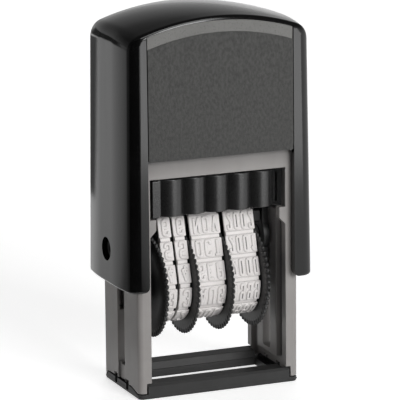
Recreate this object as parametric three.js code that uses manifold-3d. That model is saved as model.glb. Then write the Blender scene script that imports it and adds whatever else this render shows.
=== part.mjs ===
// Self-inking date stamp. A sprung cap slides down over a lower frame, and the print carriage
// that hangs in it on two axle pins turns over on the way, from the ink pad above it to the
// paper under the base. Four thumb wheels in the carriage move the date bands.
// Millimetres, +Z up, front at -Y, origin at the centre of the base's underside.

import * as THREE from 'three';
import { mergeVertices } from 'three/addons/utils/BufferGeometryUtils.js';
import Module from 'manifold-3d';

// Clearances
const seatGap = 0.3;
const capRoom = 0.35;
const trayRoom = 0.65;
const cheekRoom = 0.8;
const slotRoom = 0.35;
const slotEndRoom = 0.7;
const inkRoom = 0.1;
const printRoom = 0.4;
const footRoom = 0.5;
const crownRoom = 7.7;
const postRoom = 0.5;
const boreRoom = 0.25;
const rimClearance = 0.15;
const overrun = 4;
const mergeDistance = 0.0001;
const straightTurn = 0.001;

// Lower frame
const frameWidth = 35.6;
const frameDepth = 19.8;
const frameLip = 2.7;
const frameCornerRadius = 1.1;
const columnWidth = 2.8;
const columnDepth = 1.9;
const sideSkin = 1.5;
const crossbarThickness = 1.6;
const rearWallDrop = 0.7;
const deckThickness = 1.2;
const cupInnerRadius = 5.4;
const cupWall = 1.1;
const cupHeight = 1.5;
const slotRailWidth = 3;
const slotRailRise = 6;
const slotRailEnd = 1;

// Shoulders that carry the ink pad
const shoulderReach = 1.35;
const shoulderDrop = 2.2;
const shoulderSlope = 1.4;

// Cap
const capWall = 1.7;
const capFaceWall = 1.45;
const capWidthFlare = 1.4;
const capDepthFlare = 1;
const archRadius = 40;
const shoulderRadius = 4;
const capEdgeRadius = 2.2;
const windowInset = 1.7;
const windowReveal = 0.15;
const windowCornerRadius = 1.2;
const postRadius = 2.8;
const springSeatRadius = 6.5;
const springSeatThickness = 1.6;

// Label panels
const labelRecess = 0.75;
const labelThickness = 0.45;
const labelCrestInset = 2.5;

// Base ring
const ringEdgeHeight = 1;
const ringLedgeHeight = 1.6;
const ringRimHeight = 3.1;
const ringRimThickness = 1.1;
const ringRimInset = 2;
const ringRimChamfer = 0.5;
const apertureInset = 3.3;
const apertureDepth = 10.1;
const clipPlaces = [-2.95, 3.3];
const clipWidth = 1.3;
const clipHeight = 1.1;
const clipThickness = 0.9;

// Ink pad cassette
const trayHeight = 7.7;
const trayFaceDepth = 2.5;
const trayWall = 1.3;
const trayRearWall = 1;
const trayRoof = 1.3;
const ribMargin = 1.95;
const ribDepth = 1.1;
const ribCount = 5;
const feltLift = 0.2;

// Carriage
const axleHeight = 30.2;
const dialDrop = 8.6;
const cheekThickness = 1.4;
const cheekTopRise = 6.6;
const cheekHalfWidth = 2.9;
const cheekAxleBoss = 3.9;
const cheekDialBoss = 3.1;
const cheekCornerRadius = 1.2;
const axleRadius = 1.6;
const axleHeadRadius = 2.15;
const axleHeadSunk = 0.55;
const axleDimpleRadius = 0.9;
const axleDimpleDepth = 0.7;
const shaftRadius = 1.5;
const shaftEndSunk = 0.3;
const spacerRadius = 2.6;

// Print platen
const platenTopRise = 5.7;
const platenThickness = 1.8;
const platenHalfDepth = 2.5;
const platenEdgeRadius = 0.8;
const tenonHalfDepth = 1.4;
const tenonThickness = 1.1;
const guideThickness = 0.4;
const guideRise = 0.9;

// Date bands
const beltThickness = 0.7;
const charPadThickness = 0.6;
const padGapWidth = 0.5;
const padGapDepth = 0.5;
const padsPerBand = 12;
const dayBandShare = 0.1477;
const dayBandGap = 0.3;
const firstBandInset = 1.7;
const lastBandInset = 2.5;

// Thumb wheels
const drumRadius = 6.3;
const rimRadius = 10.9;
const toothDepth = 0.5;
const toothCount = 72;
const innerRimThickness = 0.6;
const outerRimThickness = 0.8;

// Return spring
const springRadius = 4.1;
const springWireRadius = 0.4;
const springTurns = 7;

// Heights that follow from the axle: the print line turns from the pad above it to the table
const printRise = platenTopRise + seatGap + beltThickness + charPadThickness;
const pressStroke = axleHeight - printRise - printRoom;
const shoulderTop = axleHeight + printRise + inkRoom;
const trayBottom = shoulderTop + seatGap;
const trayTop = trayBottom + trayHeight;
const deckBottom = trayTop + seatGap;
const deckTop = deckBottom + deckThickness;
const frameTop = deckTop + frameLip;
const slotBottom = axleHeight - pressStroke - axleRadius - slotEndRoom;
const windowTop = frameTop + windowReveal;
const capBottom = pressStroke + footRoom;
const capTop = frameTop + pressStroke + crownRoom;

// Widths and depths that follow from the frame: the cap slides over it, the rest sits inside it
const capWidthTop = frameWidth + (capRoom + capWall) * 2;
const capWidthBottom = capWidthTop + capWidthFlare;
const cavityDepth = frameDepth + capRoom * 2;
const capDepthTop = cavityDepth + capFaceWall * 2;
const capDepthBottom = capDepthTop + capDepthFlare;
const windowWidth = frameWidth - windowInset * 2;
const ringRimWidth = frameWidth - ringRimInset * 2;
const apertureWidth = frameWidth - apertureInset * 2;
const trayWidth = frameWidth - (columnWidth + trayRoom) * 2;
const ribPitch = (trayWidth - ribMargin * 2) / ribCount;
const cheekInner = frameWidth / 2 - columnWidth - cheekRoom - cheekThickness;
const innerRimPitch = innerRimThickness + rimClearance * 2;
const bandEnds = firstBandInset + lastBandInset;
const bandRoom = cheekInner * 2 - bandEnds - dayBandGap - innerRimPitch * 2;
const dayBandWidth = bandRoom * dayBandShare;
const wideBandWidth = bandRoom / 2 - dayBandWidth;

// Holes and slots that follow from what turns in them
const slotWidth = (axleRadius + slotRoom) * 2;
const sideHoleRadius = axleHeadRadius + seatGap;
const boreRadius = shaftRadius + boreRoom;

// Facets
const archSteps = 20;
const shoulderSteps = 5;
const edgeSteps = 3;
const roundSteps = 32;
const cornerSteps = 4;
const ribSteps = 7;
const stepsPerCurl = 8;
const wireSides = 5;

const palette = {
  gloss: { color: 0x0c0c0d, roughness: 0.16, metalness: 0 },
  label: { color: 0x3a3a39, roughness: 0.75, metalness: 0 },
  frame: { color: 0x6f6a68, roughness: 0.5, metalness: 0 },
  black: { color: 0x1a1a1b, roughness: 0.55, metalness: 0 },
  wheel: { color: 0x151515, roughness: 0.5, metalness: 0 },
  carriage: { color: 0x202021, roughness: 0.55, metalness: 0 },
  band: { color: 0xe2dedb, roughness: 0.7, metalness: 0 },
  felt: { color: 0x22232e, roughness: 0.95, metalness: 0 },
  steel: { color: 0xb4b6b8, roughness: 0.3, metalness: 1 },
};

const wasm = await Module();
wasm.setup();
const stamp = new THREE.Group();

// Adds a finished shape to the stamp under its piece's name
function addPiece(name, shape, finish) {
  const geometry = shape.isBufferGeometry ? shape : surfaceOf(shape);
  const mesh = new THREE.Mesh(geometry, new THREE.MeshStandardMaterial(palette[finish]));
  mesh.name = name;
  stamp.add(mesh);
}

// Turns a closed geometry into a solid that can be joined and cut
function solidOf(geometry) {
  geometry.deleteAttribute('normal');
  geometry.deleteAttribute('uv');
  const merged = mergeVertices(geometry, mergeDistance);
  const vertProperties = Float32Array.from(merged.attributes.position.array);
  const triVerts = Uint32Array.from(merged.index.array);
  return new wasm.Manifold(new wasm.Mesh({ numProp: 3, vertProperties, triVerts }));
}

function surfaceOf(solid) {
  const mesh = solid.getMesh();
  const geometry = new THREE.BufferGeometry();
  geometry.setAttribute('position', new THREE.BufferAttribute(mesh.vertProperties, 3));
  geometry.setIndex(new THREE.BufferAttribute(mesh.triVerts, 1));
  geometry.computeVertexNormals();
  return geometry;
}

function joined(...solids) {
  return solids.reduce((whole, next) => whole.add(next));
}

function block(xs, ys, zs) {
  const size = [xs, ys, zs].map(([low, high]) => high - low);
  const centre = [xs, ys, zs].map(([low, high]) => (low + high) / 2);
  return solidOf(new THREE.BoxGeometry(...size).translate(...centre));
}

// Points along an arc, both ends included
function arc(x, y, radius, from, to, steps) {
  return Array.from({ length: steps + 1 }, (_, step) => {
    const angle = from + ((to - from) * step) / steps;
    return new THREE.Vector2(x + radius * Math.cos(angle), y + radius * Math.sin(angle));
  });
}

// An outline without points that fall on each other or lie on a straight run
function trimmed(points) {
  const apart = points.filter((point, place) => {
    const last = points[(place + points.length - 1) % points.length];
    return point.distanceTo(last) > mergeDistance;
  });
  return apart.filter((point, place) => {
    const last = apart[(place + apart.length - 1) % apart.length];
    const next = apart[(place + 1) % apart.length];
    const came = point.clone().sub(last).normalize();
    const goes = next.clone().sub(point).normalize();
    return Math.abs(came.cross(goes)) > straightTurn;
  });
}

// A flat shape; its holes run the same way round as its outline and are turned here
function shapeOf(points, holes = []) {
  const shape = new THREE.Shape(trimmed(points));
  shape.holes = holes.map((hole) => new THREE.Path(trimmed(hole).reverse()));
  return shape;
}

function roundedBox(x, y, halfWidth, halfHeight, radius) {
  const right = x + halfWidth - radius;
  const left = x - halfWidth + radius;
  const top = y + halfHeight - radius;
  const low = y - halfHeight + radius;
  return [
    ...arc(right, low, radius, -Math.PI / 2, 0, cornerSteps),
    ...arc(right, top, radius, 0, Math.PI / 2, cornerSteps),
    ...arc(left, top, radius, Math.PI / 2, Math.PI, cornerSteps),
    ...arc(left, low, radius, Math.PI, Math.PI * 1.5, cornerSteps),
  ];
}

// Prisms: an outline in the YZ, XZ or XY plane, carried along the axis that is left
function prismAlongX(shape, [from, to]) {
  const geometry = new THREE.ExtrudeGeometry(shape, { depth: to - from, bevelEnabled: false });
  const axes = new THREE.Matrix4().makeBasis(
    new THREE.Vector3(0, 1, 0),
    new THREE.Vector3(0, 0, 1),
    new THREE.Vector3(1, 0, 0),
  );
  return solidOf(geometry.applyMatrix4(axes).translate(from, 0, 0));
}

function prismAlongY(shape, [from, to], bevel = { bevelEnabled: false }) {
  const geometry = new THREE.ExtrudeGeometry(shape, { depth: to - from, ...bevel });
  return solidOf(geometry.rotateX(Math.PI / 2).translate(0, to, 0));
}

function prismAlongZ(shape, [from, to]) {
  const geometry = new THREE.ExtrudeGeometry(shape, { depth: to - from, bevelEnabled: false });
  return solidOf(geometry.translate(0, 0, from));
}

function rodAlongX(radius, [from, to], z) {
  return prismAlongX(shapeOf(arc(0, z, radius, 0, Math.PI * 2, roundSteps)), [from, to]);
}

function rodAlongZ(radius, [from, to]) {
  return prismAlongZ(shapeOf(arc(0, 0, radius, 0, Math.PI * 2, roundSteps)), [from, to]);
}

// Cap

const archCentre = capTop - archRadius;
const shoulderX = capWidthTop / 2 - shoulderRadius;
const shoulderZ = archCentre + Math.sqrt((archRadius - shoulderRadius) ** 2 - shoulderX ** 2);
const shoulderTurn = Math.atan2(shoulderZ - archCentre, shoulderX);
const sideDraft = (capWidthBottom - capWidthTop) / 2 / (shoulderZ - capBottom);

// Half the cap's outer width at a height on its drafted sides
function capHalfWidth(z) {
  return capWidthBottom / 2 - sideDraft * (z - capBottom);
}

// The cap's front view, moved in by a wall: drafted sides, round shoulders, arched crest
function archOutline(inset, bottom) {
  const corner = shoulderRadius - inset;
  const foot = capHalfWidth(bottom) - inset;
  return shapeOf([
    new THREE.Vector2(foot, bottom),
    ...arc(shoulderX, shoulderZ, corner, 0, shoulderTurn, shoulderSteps),
    ...arc(0, archCentre, archRadius - inset, shoulderTurn, Math.PI - shoulderTurn, archSteps),
    ...arc(-shoulderX, shoulderZ, corner, Math.PI - shoulderTurn, Math.PI, shoulderSteps),
    new THREE.Vector2(-foot, bottom),
  ]);
}

// The draft of the cap's front and back: depth shrinks with height
function drafted(solid) {
  const shrink = (capDepthBottom - capDepthTop) / capDepthBottom / (capTop - capBottom);
  return solid.warp((point) => {
    point[1] *= 1 - shrink * (point[2] - capBottom);
  });
}

const capFront = -capDepthBottom / 2;
const capBack = capDepthBottom / 2;
const cavityTop = capTop - capWall;
const springTop = cavityTop - springSeatThickness;

// The window between the cap's legs, open below, through the front and the back
function windowCutter() {
  const half = windowWidth / 2;
  const inner = half - windowCornerRadius;
  const high = windowTop - windowCornerRadius;
  const outline = [
    new THREE.Vector2(half, capBottom - overrun),
    ...arc(inner, high, windowCornerRadius, 0, Math.PI / 2, cornerSteps),
    ...arc(-inner, high, windowCornerRadius, Math.PI / 2, Math.PI, cornerSteps),
    new THREE.Vector2(-half, capBottom - overrun),
  ];
  return prismAlongY(shapeOf(outline), [capFront - overrun, capBack + overrun]);
}

// A label's place on the front or back of the cap, bounded above by the arch
function labelSolid(side, bottom, inset, from, to) {
  const ys = side < 0 ? [-to, -from] : [from, to];
  const sheet = prismAlongY(archOutline(labelCrestInset + inset, bottom), ys);
  const halfWidth = windowWidth / 2 - inset;
  const sides = block([-halfWidth, halfWidth], ys, [bottom, capTop]);
  return drafted(sheet.intersect(sides));
}

function capShell() {
  const outer = drafted(prismAlongY(
    archOutline(0, capBottom - overrun),
    [capFront + capEdgeRadius, capBack - capEdgeRadius],
    {
      bevelThickness: capEdgeRadius,
      bevelSize: capEdgeRadius,
      bevelOffset: -capEdgeRadius,
      bevelSegments: edgeSteps,
    },
  ));
  const cavity = prismAlongY(
    archOutline(capWall, capBottom - overrun * 2),
    [-cavityDepth / 2, cavityDepth / 2],
  );
  const below = block(
    [-capWidthBottom, capWidthBottom],
    [-capDepthBottom, capDepthBottom],
    [capBottom - overrun * 2, capBottom],
  );
  const seat = rodAlongZ(springSeatRadius, [springTop, capTop - capWall / 2]);
  const post = rodAlongZ(postRadius, [deckTop + pressStroke + postRoom, capTop - capWall / 2]);
  const labelFloor = capBack - labelRecess;
  return joined(outer.subtract(cavity), seat, post)
    .subtract(below)
    .subtract(windowCutter())
    .subtract(labelSolid(-1, windowTop - overrun, 0, labelFloor, capBack + overrun))
    .subtract(labelSolid(1, windowTop - overrun, 0, labelFloor, capBack + overrun))
    .subtract(rodAlongX(sideHoleRadius, [-capWidthBottom, capWidthBottom], axleHeight));
}

addPiece('cap_shell', capShell(), 'gloss');

const labelBack = capBack - labelRecess + seatGap;
const labelFront = labelBack + labelThickness;
for (const [word, side] of [['front', -1], ['rear', 1]]) {
  const panel = labelSolid(side, windowTop, seatGap, labelBack, labelFront);
  addPiece(`${word}_label_panel`, panel, 'label');
}

// Lower frame

const frameSide = frameWidth / 2;
const frameFront = -frameDepth / 2;
const frameBack = frameDepth / 2;
const columnInner = frameSide - columnWidth;
const wallBottom = ringEdgeHeight + seatGap;
const rearWallHeight = [shoulderTop - rearWallDrop, frameTop];

// One side: outer skin, front and rear columns, and the rails of the axle slot
function frameSideWall(side) {
  const across = (inner, outer) => (side < 0 ? [-outer, -inner] : [inner, outer]);
  const thick = across(columnInner, frameSide);
  const railOuter = slotWidth / 2 + slotRailWidth;
  const bossZ = [shoulderTop - shoulderDrop - shoulderSlope, shoulderTop];
  const shoulderTip = columnInner - shoulderReach;
  const shoulderShape = shapeOf([
    new THREE.Vector2(side * frameSide, bossZ[0]),
    new THREE.Vector2(side * columnInner, bossZ[0]),
    new THREE.Vector2(side * shoulderTip, bossZ[0] + shoulderSlope),
    new THREE.Vector2(side * shoulderTip, bossZ[1]),
    new THREE.Vector2(side * frameSide, bossZ[1]),
  ]);
  return joined(
    block(across(frameSide - sideSkin, frameSide), [frameFront, frameBack], [wallBottom, frameTop]),
    block(thick, [frameFront, frameFront + columnDepth], [wallBottom, frameTop]),
    block(thick, [frameBack - columnDepth, frameBack], [wallBottom, frameTop]),
    block(thick, [-railOuter, railOuter], [slotBottom - slotRailEnd, axleHeight + slotRailRise]),
    prismAlongY(shoulderShape, [frameFront, frameFront + columnDepth]),
    prismAlongY(shoulderShape, [frameBack - columnDepth, frameBack]),
  );
}

function slotCutter() {
  const halfWidth = slotWidth / 2;
  const outline = [
    ...arc(0, axleHeight, halfWidth, 0, Math.PI, cornerSteps * 2),
    new THREE.Vector2(-halfWidth, slotBottom),
    new THREE.Vector2(halfWidth, slotBottom),
  ];
  return prismAlongX(shapeOf(outline), [-frameWidth, frameWidth]);
}

function lowerFrame() {
  const inside = [-columnInner, columnInner];
  const cup = rodAlongZ(cupInnerRadius + cupWall, [deckBottom, deckTop + cupHeight]);
  const cupHollow = rodAlongZ(cupInnerRadius, [deckTop, deckTop + overrun]);
  const envelope = prismAlongZ(
    shapeOf(roundedBox(0, 0, frameSide, frameBack, frameCornerRadius)),
    [0, capTop],
  );
  let frame = joined(
    frameSideWall(-1),
    frameSideWall(1),
    block(inside, [frameFront, frameFront + crossbarThickness], [deckBottom, frameTop]),
    block(inside, [frameBack - crossbarThickness, frameBack], rearWallHeight),
    block(inside, [frameFront, frameBack], [deckBottom, deckTop]),
    cup.subtract(cupHollow),
  );
  frame = frame.intersect(envelope).subtract(slotCutter());
  for (const side of [-1, 1]) {
    const rimRoom = ringRimWidth / 2 + seatGap;
    const rimTop = ringRimHeight + seatGap;
    const inner = frameBack - ringRimThickness - seatGap;
    const ys = side < 0 ? [-frameDepth, -inner] : [inner, frameDepth];
    frame = frame.subtract(block([-rimRoom, rimRoom], ys, [0, rimTop]));
  }
  for (const place of clipPlaces) {
    const reach = clipWidth / 2 + seatGap;
    const notchTop = ringEdgeHeight + clipHeight + seatGap;
    const ys = [place - reach, place + reach];
    frame = frame.subtract(block([-frameWidth, frameWidth], ys, [0, notchTop]));
  }
  return frame;
}

addPiece('lower_frame', lowerFrame(), 'frame');

// Base ring

function baseRing() {
  const ledgeWidth = columnInner - seatGap;
  const rimHalf = ringRimWidth / 2;
  const outline = shapeOf(roundedBox(0, 0, frameSide, frameBack, frameCornerRadius));
  let ring = joined(
    prismAlongZ(outline, [0, ringEdgeHeight]),
    block(
      [-ledgeWidth, ledgeWidth],
      [frameFront + ringRimThickness / 2, frameBack - ringRimThickness / 2],
      [0, ringLedgeHeight],
    ),
  );
  for (const side of [-1, 1]) {
    const rim = shapeOf([
      new THREE.Vector2(side * (frameBack - ringRimThickness), 0),
      new THREE.Vector2(side * (frameBack - ringRimThickness), ringRimHeight),
      new THREE.Vector2(side * (frameBack - ringRimChamfer), ringRimHeight),
      new THREE.Vector2(side * frameBack, ringRimHeight - ringRimChamfer),
      new THREE.Vector2(side * frameBack, 0),
    ]);
    ring = ring.add(prismAlongX(rim, [-rimHalf, rimHalf]));
    const clipMiddle = side * (frameSide - sideSkin / 2);
    const xs = [clipMiddle - clipThickness / 2, clipMiddle + clipThickness / 2];
    for (const place of clipPlaces) {
      const ys = [place - clipWidth / 2, place + clipWidth / 2];
      ring = ring.add(block(xs, ys, [0, ringEdgeHeight + clipHeight]));
    }
  }
  const aperture = block(
    [-apertureWidth / 2, apertureWidth / 2],
    [-apertureDepth / 2, apertureDepth / 2],
    [-overrun, overrun],
  );
  return ring.subtract(aperture);
}

addPiece('base_ring', baseRing(), 'black');

// Ink pad

const trayHalf = trayWidth / 2;
const trayFront = frameFront;
const trayRear = frameBack - crossbarThickness - seatGap;

// The cassette seen from above: five rounded ribs across its front
function trayOutline() {
  const ribHalf = ribPitch / 2;
  const ribRadius = (ribHalf ** 2 + ribDepth ** 2) / (2 * ribDepth);
  const sweep = Math.asin(ribHalf / ribRadius);
  const ribsHalf = ribHalf * ribCount;
  const points = [];
  for (let rib = 0; rib < ribCount; rib += 1) {
    const x = (rib - (ribCount - 1) / 2) * ribPitch;
    const y = trayFront + ribRadius;
    points.push(...arc(x, y, ribRadius, -Math.PI / 2 - sweep, -Math.PI / 2 + sweep, ribSteps));
  }
  return shapeOf([
    new THREE.Vector2(-trayHalf, trayFront),
    new THREE.Vector2(-ribsHalf, trayFront),
    ...points,
    new THREE.Vector2(ribsHalf, trayFront),
    new THREE.Vector2(trayHalf, trayFront),
    new THREE.Vector2(trayHalf, trayRear),
    new THREE.Vector2(-trayHalf, trayRear),
  ]);
}

const pocketHalf = trayHalf - trayWall;
const pocketDepth = [trayFront + trayFaceDepth, trayRear - trayRearWall];
const pocketTop = trayTop - trayRoof;

addPiece(
  'ink_pad_tray',
  prismAlongZ(trayOutline(), [trayBottom, trayTop])
    .subtract(block([-pocketHalf, pocketHalf], pocketDepth, [trayBottom - overrun, pocketTop])),
  'black',
);
addPiece(
  'ink_pad_felt',
  block(
    [-pocketHalf + seatGap, pocketHalf - seatGap],
    [pocketDepth[0] + seatGap, pocketDepth[1] - seatGap],
    [trayBottom + feltLift, pocketTop - seatGap],
  ),
  'felt',
);

// Return spring

const springBottom = deckTop + seatGap;
const springSpan = springTop - seatGap - springBottom - springWireRadius * 2;

class SpringLine extends THREE.Curve {
  getPoint(share, target = new THREE.Vector3()) {
    const angle = share * springTurns * Math.PI * 2;
    const z = springBottom + springWireRadius + share * springSpan;
    return target.set(springRadius * Math.cos(angle), springRadius * Math.sin(angle), z);
  }
}

function returnSpring() {
  const section = shapeOf(arc(0, 0, springWireRadius, 0, Math.PI * 2, wireSides));
  const steps = springTurns * stepsPerCurl;
  return new THREE.ExtrudeGeometry(section, { steps, extrudePath: new SpringLine() });
}

// Least distance between the wire's own turns, surface to surface
function springLeastGap() {
  const line = new SpringLine();
  const count = springTurns * stepsPerCurl;
  const points = Array.from({ length: count + 1 }, (_, step) => line.getPoint(step / count));
  let least = Infinity;
  points.forEach((point, first) => {
    points.slice(first + stepsPerCurl / 2).forEach((other) => {
      least = Math.min(least, point.distanceTo(other) - springWireRadius * 2);
    });
  });
  return least;
}

addPiece('return_spring', returnSpring(), 'steel');
console.log(`return_spring least gap to itself: ${springLeastGap().toFixed(2)} mm`);

// Carriage

const dialHeight = axleHeight - dialDrop;
const cheekOuter = cheekInner + cheekThickness;
const platenTop = axleHeight + platenTopRise;
const platenBottom = platenTop - platenThickness;
const platenMiddle = (platenTop + platenBottom) / 2;

function cheek(side) {
  const xs = side < 0 ? [-cheekOuter, -cheekInner] : [cheekInner, cheekOuter];
  const topMiddle = axleHeight + cheekTopRise / 2;
  const armBottom = (dialHeight + axleHeight) / 2;
  const upper = roundedBox(0, topMiddle, cheekHalfWidth, cheekTopRise / 2, cheekCornerRadius);
  const lower = roundedBox(0, armBottom, cheekHalfWidth, dialDrop / 2, cheekCornerRadius);
  const tenonRoom = block(
    [-cheekOuter - overrun, cheekOuter + overrun],
    [-tenonHalfDepth - seatGap, tenonHalfDepth + seatGap],
    [platenMiddle - tenonThickness / 2 - seatGap, platenMiddle + tenonThickness / 2 + seatGap],
  );
  return joined(
    prismAlongX(shapeOf(upper), xs),
    prismAlongX(shapeOf(lower), xs),
    rodAlongX(cheekAxleBoss, xs, axleHeight),
    rodAlongX(cheekDialBoss, xs, dialHeight),
  )
    .subtract(rodAlongX(axleRadius + seatGap, [-capWidthBottom, capWidthBottom], axleHeight))
    .subtract(rodAlongX(shaftRadius + seatGap, [-capWidthBottom, capWidthBottom], dialHeight))
    .subtract(tenonRoom);
}

// An axle pin: a plain shank in the cheek and the slot, a dimpled head in the cap's side hole
function axlePin(side) {
  const headOuter = capHalfWidth(axleHeight) - axleHeadSunk;
  const headInner = frameSide + seatGap;
  const profile = [
    new THREE.Vector2(0, cheekInner),
    new THREE.Vector2(axleRadius, cheekInner),
    new THREE.Vector2(axleRadius, headInner),
    new THREE.Vector2(axleHeadRadius, headInner),
    new THREE.Vector2(axleHeadRadius, headOuter),
    new THREE.Vector2(axleDimpleRadius, headOuter),
    new THREE.Vector2(axleDimpleRadius, headOuter - axleDimpleDepth),
    new THREE.Vector2(0, headOuter - axleDimpleDepth),
  ];
  const geometry = new THREE.LatheGeometry(profile, roundSteps / 2);
  return solidOf(geometry.rotateZ((-side * Math.PI) / 2).translate(0, 0, axleHeight));
}

for (const [word, side] of [['left', -1], ['right', 1]]) {
  addPiece(`${word}_cheek`, cheek(side), 'carriage');
  addPiece(`${word}_axle_pin`, axlePin(side), 'frame');
}
const shaftReach = cheekOuter - shaftEndSunk;
addPiece('wheel_shaft', rodAlongX(shaftRadius, [-shaftReach, shaftReach], dialHeight), 'steel');

// Dials: each is a band and the thumb wheel that moves it, laid out from the left

const dialPlans = [
  { name: 'day_tens', width: dayBandWidth, rimSide: -1, rim: outerRimThickness },
  { name: 'day_units', width: dayBandWidth, rimSide: 1, rim: innerRimThickness },
  { name: 'month', width: wideBandWidth, rimSide: 1, rim: innerRimThickness },
  { name: 'year', width: wideBandWidth, rimSide: 1, rim: outerRimThickness },
];
let nextLeft = firstBandInset - cheekInner;
for (const dial of dialPlans) {
  dial.band = [nextLeft, nextLeft + dial.width];
  nextLeft = dial.band[1] + (dial.rimSide > 0 ? dial.rim + rimClearance * 2 : dayBandGap);
  const face = dial.rimSide > 0 ? dial.band[1] + rimClearance : dial.band[0] - rimClearance;
  dial.rimSpan = dial.rimSide > 0 ? [face, face + dial.rim] : [face - dial.rim, face];
  dial.rimMiddle = (dial.rimSpan[0] + dial.rimSpan[1]) / 2;
  dial.drumSpan = [
    Math.min(dial.band[0], dial.rimMiddle),
    Math.max(dial.band[1], dial.rimMiddle),
  ];
}
const lastDial = dialPlans[dialPlans.length - 1];

// The belt line: round the drum below, over the platen's two round edges above
const turnHigh = platenTop - platenEdgeRadius;
const turnOut = platenHalfDepth - platenEdgeRadius;
const turnRadius = platenEdgeRadius + seatGap;
const hubRadius = drumRadius + seatGap;
const rise = turnHigh - dialHeight;
const spread = Math.hypot(turnOut, rise);
const leanAngle = Math.atan2(rise, turnOut) - Math.acos((hubRadius - turnRadius) / spread);

// A point on the loop, by its distance along the belt's middle and its height above the inside
function loopPoint(along, height) {
  const middle = beltThickness / 2;
  const cornerTurn = Math.PI / 2 - leanAngle;
  const slope = Math.sqrt(spread ** 2 - (hubRadius - turnRadius) ** 2);
  const flat = turnOut;
  const corner = cornerTurn * (turnRadius + middle);
  const half = flat + corner + slope + (Math.PI / 2 + leanAngle) * (hubRadius + middle);
  const side = along > half ? -1 : 1;
  const way = along > half ? 2 * half - along : along;
  let y;
  let z;
  if (way < flat) {
    y = way;
    z = turnHigh + turnRadius + height;
  } else if (way < flat + corner) {
    const angle = Math.PI / 2 - (way - flat) / (turnRadius + middle);
    y = turnOut + (turnRadius + height) * Math.cos(angle);
    z = turnHigh + (turnRadius + height) * Math.sin(angle);
  } else if (way < flat + corner + slope) {
    const down = way - flat - corner;
    y = turnOut + (turnRadius + height) * Math.cos(leanAngle) + down * Math.sin(leanAngle);
    z = turnHigh + (turnRadius + height) * Math.sin(leanAngle) - down * Math.cos(leanAngle);
  } else {
    const angle = leanAngle - (way - flat - corner - slope) / (hubRadius + middle);
    y = (hubRadius + height) * Math.cos(angle);
    z = dialHeight + (hubRadius + height) * Math.sin(angle);
  }
  return new THREE.Vector2(side * y, z);
}

const loopLength = 2 * (turnOut
  + (Math.PI / 2 - leanAngle) * (turnRadius + beltThickness / 2)
  + Math.sqrt(spread ** 2 - (hubRadius - turnRadius) ** 2)
  + (Math.PI / 2 + leanAngle) * (hubRadius + beltThickness / 2));
const padPitch = loopLength / padsPerBand;

// A band: a closed belt with twelve raised pads for the characters, one of them at the print line
function dateBand(span) {
  const wrapped = (along) => ((along % loopLength) + loopLength) % loopLength;
  const padHalf = (padPitch - padGapWidth) / 2;
  const padStepShares = [-1, -0.5, 0, 0.5, 1];
  const innerStepShares = [0, 0.25, 0.5, 0.75];
  const crown = beltThickness + charPadThickness;
  const outside = [];
  const inside = [];
  for (let pad = 0; pad < padsPerBand; pad += 1) {
    const centre = pad * padPitch;
    outside.push(loopPoint(wrapped(centre - padHalf), crown - padGapDepth));
    padStepShares.forEach((share) => {
      outside.push(loopPoint(wrapped(centre + padHalf * share), crown));
    });
    outside.push(loopPoint(wrapped(centre + padHalf), crown - padGapDepth));
    innerStepShares.forEach((share) => {
      inside.push(loopPoint(wrapped(centre + padPitch * share), 0));
    });
  }
  return prismAlongX(shapeOf(outside, [inside]), span);
}

// A thumb wheel: a plain drum inside the band and a toothed rim beside it, on the shaft
function thumbWheel(dial) {
  const toothTurn = (Math.PI * 2) / toothCount;
  const rimOutline = [];
  for (let tooth = 0; tooth < toothCount; tooth += 1) {
    const angle = tooth * toothTurn;
    rimOutline.push(...arc(0, dialHeight, rimRadius, angle, angle, 1).slice(1));
    rimOutline.push(
      ...arc(0, dialHeight, rimRadius - toothDepth, angle + toothTurn / 2, angle, 1).slice(0, 1),
    );
  }
  return prismAlongX(shapeOf(rimOutline), dial.rimSpan)
    .add(rodAlongX(drumRadius, dial.drumSpan, dialHeight))
    .subtract(rodAlongX(boreRadius, [-capWidthBottom, capWidthBottom], dialHeight));
}

for (const dial of dialPlans) {
  addPiece(`${dial.name}_band`, dateBand(dial.band), 'band');
  addPiece(`${dial.name}_wheel`, thumbWheel(dial), 'wheel');
}

addPiece(
  'shaft_spacer',
  rodAlongX(spacerRadius, [lastDial.rimSpan[1] + seatGap, cheekInner - seatGap], dialHeight)
    .subtract(rodAlongX(shaftRadius + seatGap, [0, cheekOuter], dialHeight)),
  'carriage',
);

// The platen that the bands pass over, with tenons in the cheeks and guides beside the bands
function printPlaten() {
  const shoulderX = cheekInner - seatGap;
  const beam = roundedBox(0, platenMiddle, platenHalfDepth, platenThickness / 2, platenEdgeRadius);
  const tenonReach = cheekOuter - seatGap;
  let platen = prismAlongX(shapeOf(beam), [-shoulderX, shoulderX]).add(block(
    [-tenonReach, tenonReach],
    [-tenonHalfDepth, tenonHalfDepth],
    [platenMiddle - tenonThickness / 2, platenMiddle + tenonThickness / 2],
  ));
  for (const dial of dialPlans) {
    platen = platen.add(block(
      [dial.rimMiddle - guideThickness / 2, dial.rimMiddle + guideThickness / 2],
      [-platenHalfDepth, platenHalfDepth],
      [platenBottom, platenTop + guideRise],
    ));
  }
  return platen;
}

addPiece('print_platen', printPlaten(), 'carriage');

export default stamp;
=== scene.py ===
import math

import bmesh
import bpy
from bmesh.types import BMEdge, BMFace, BMVert
from mathutils import Matrix, Vector


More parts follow.
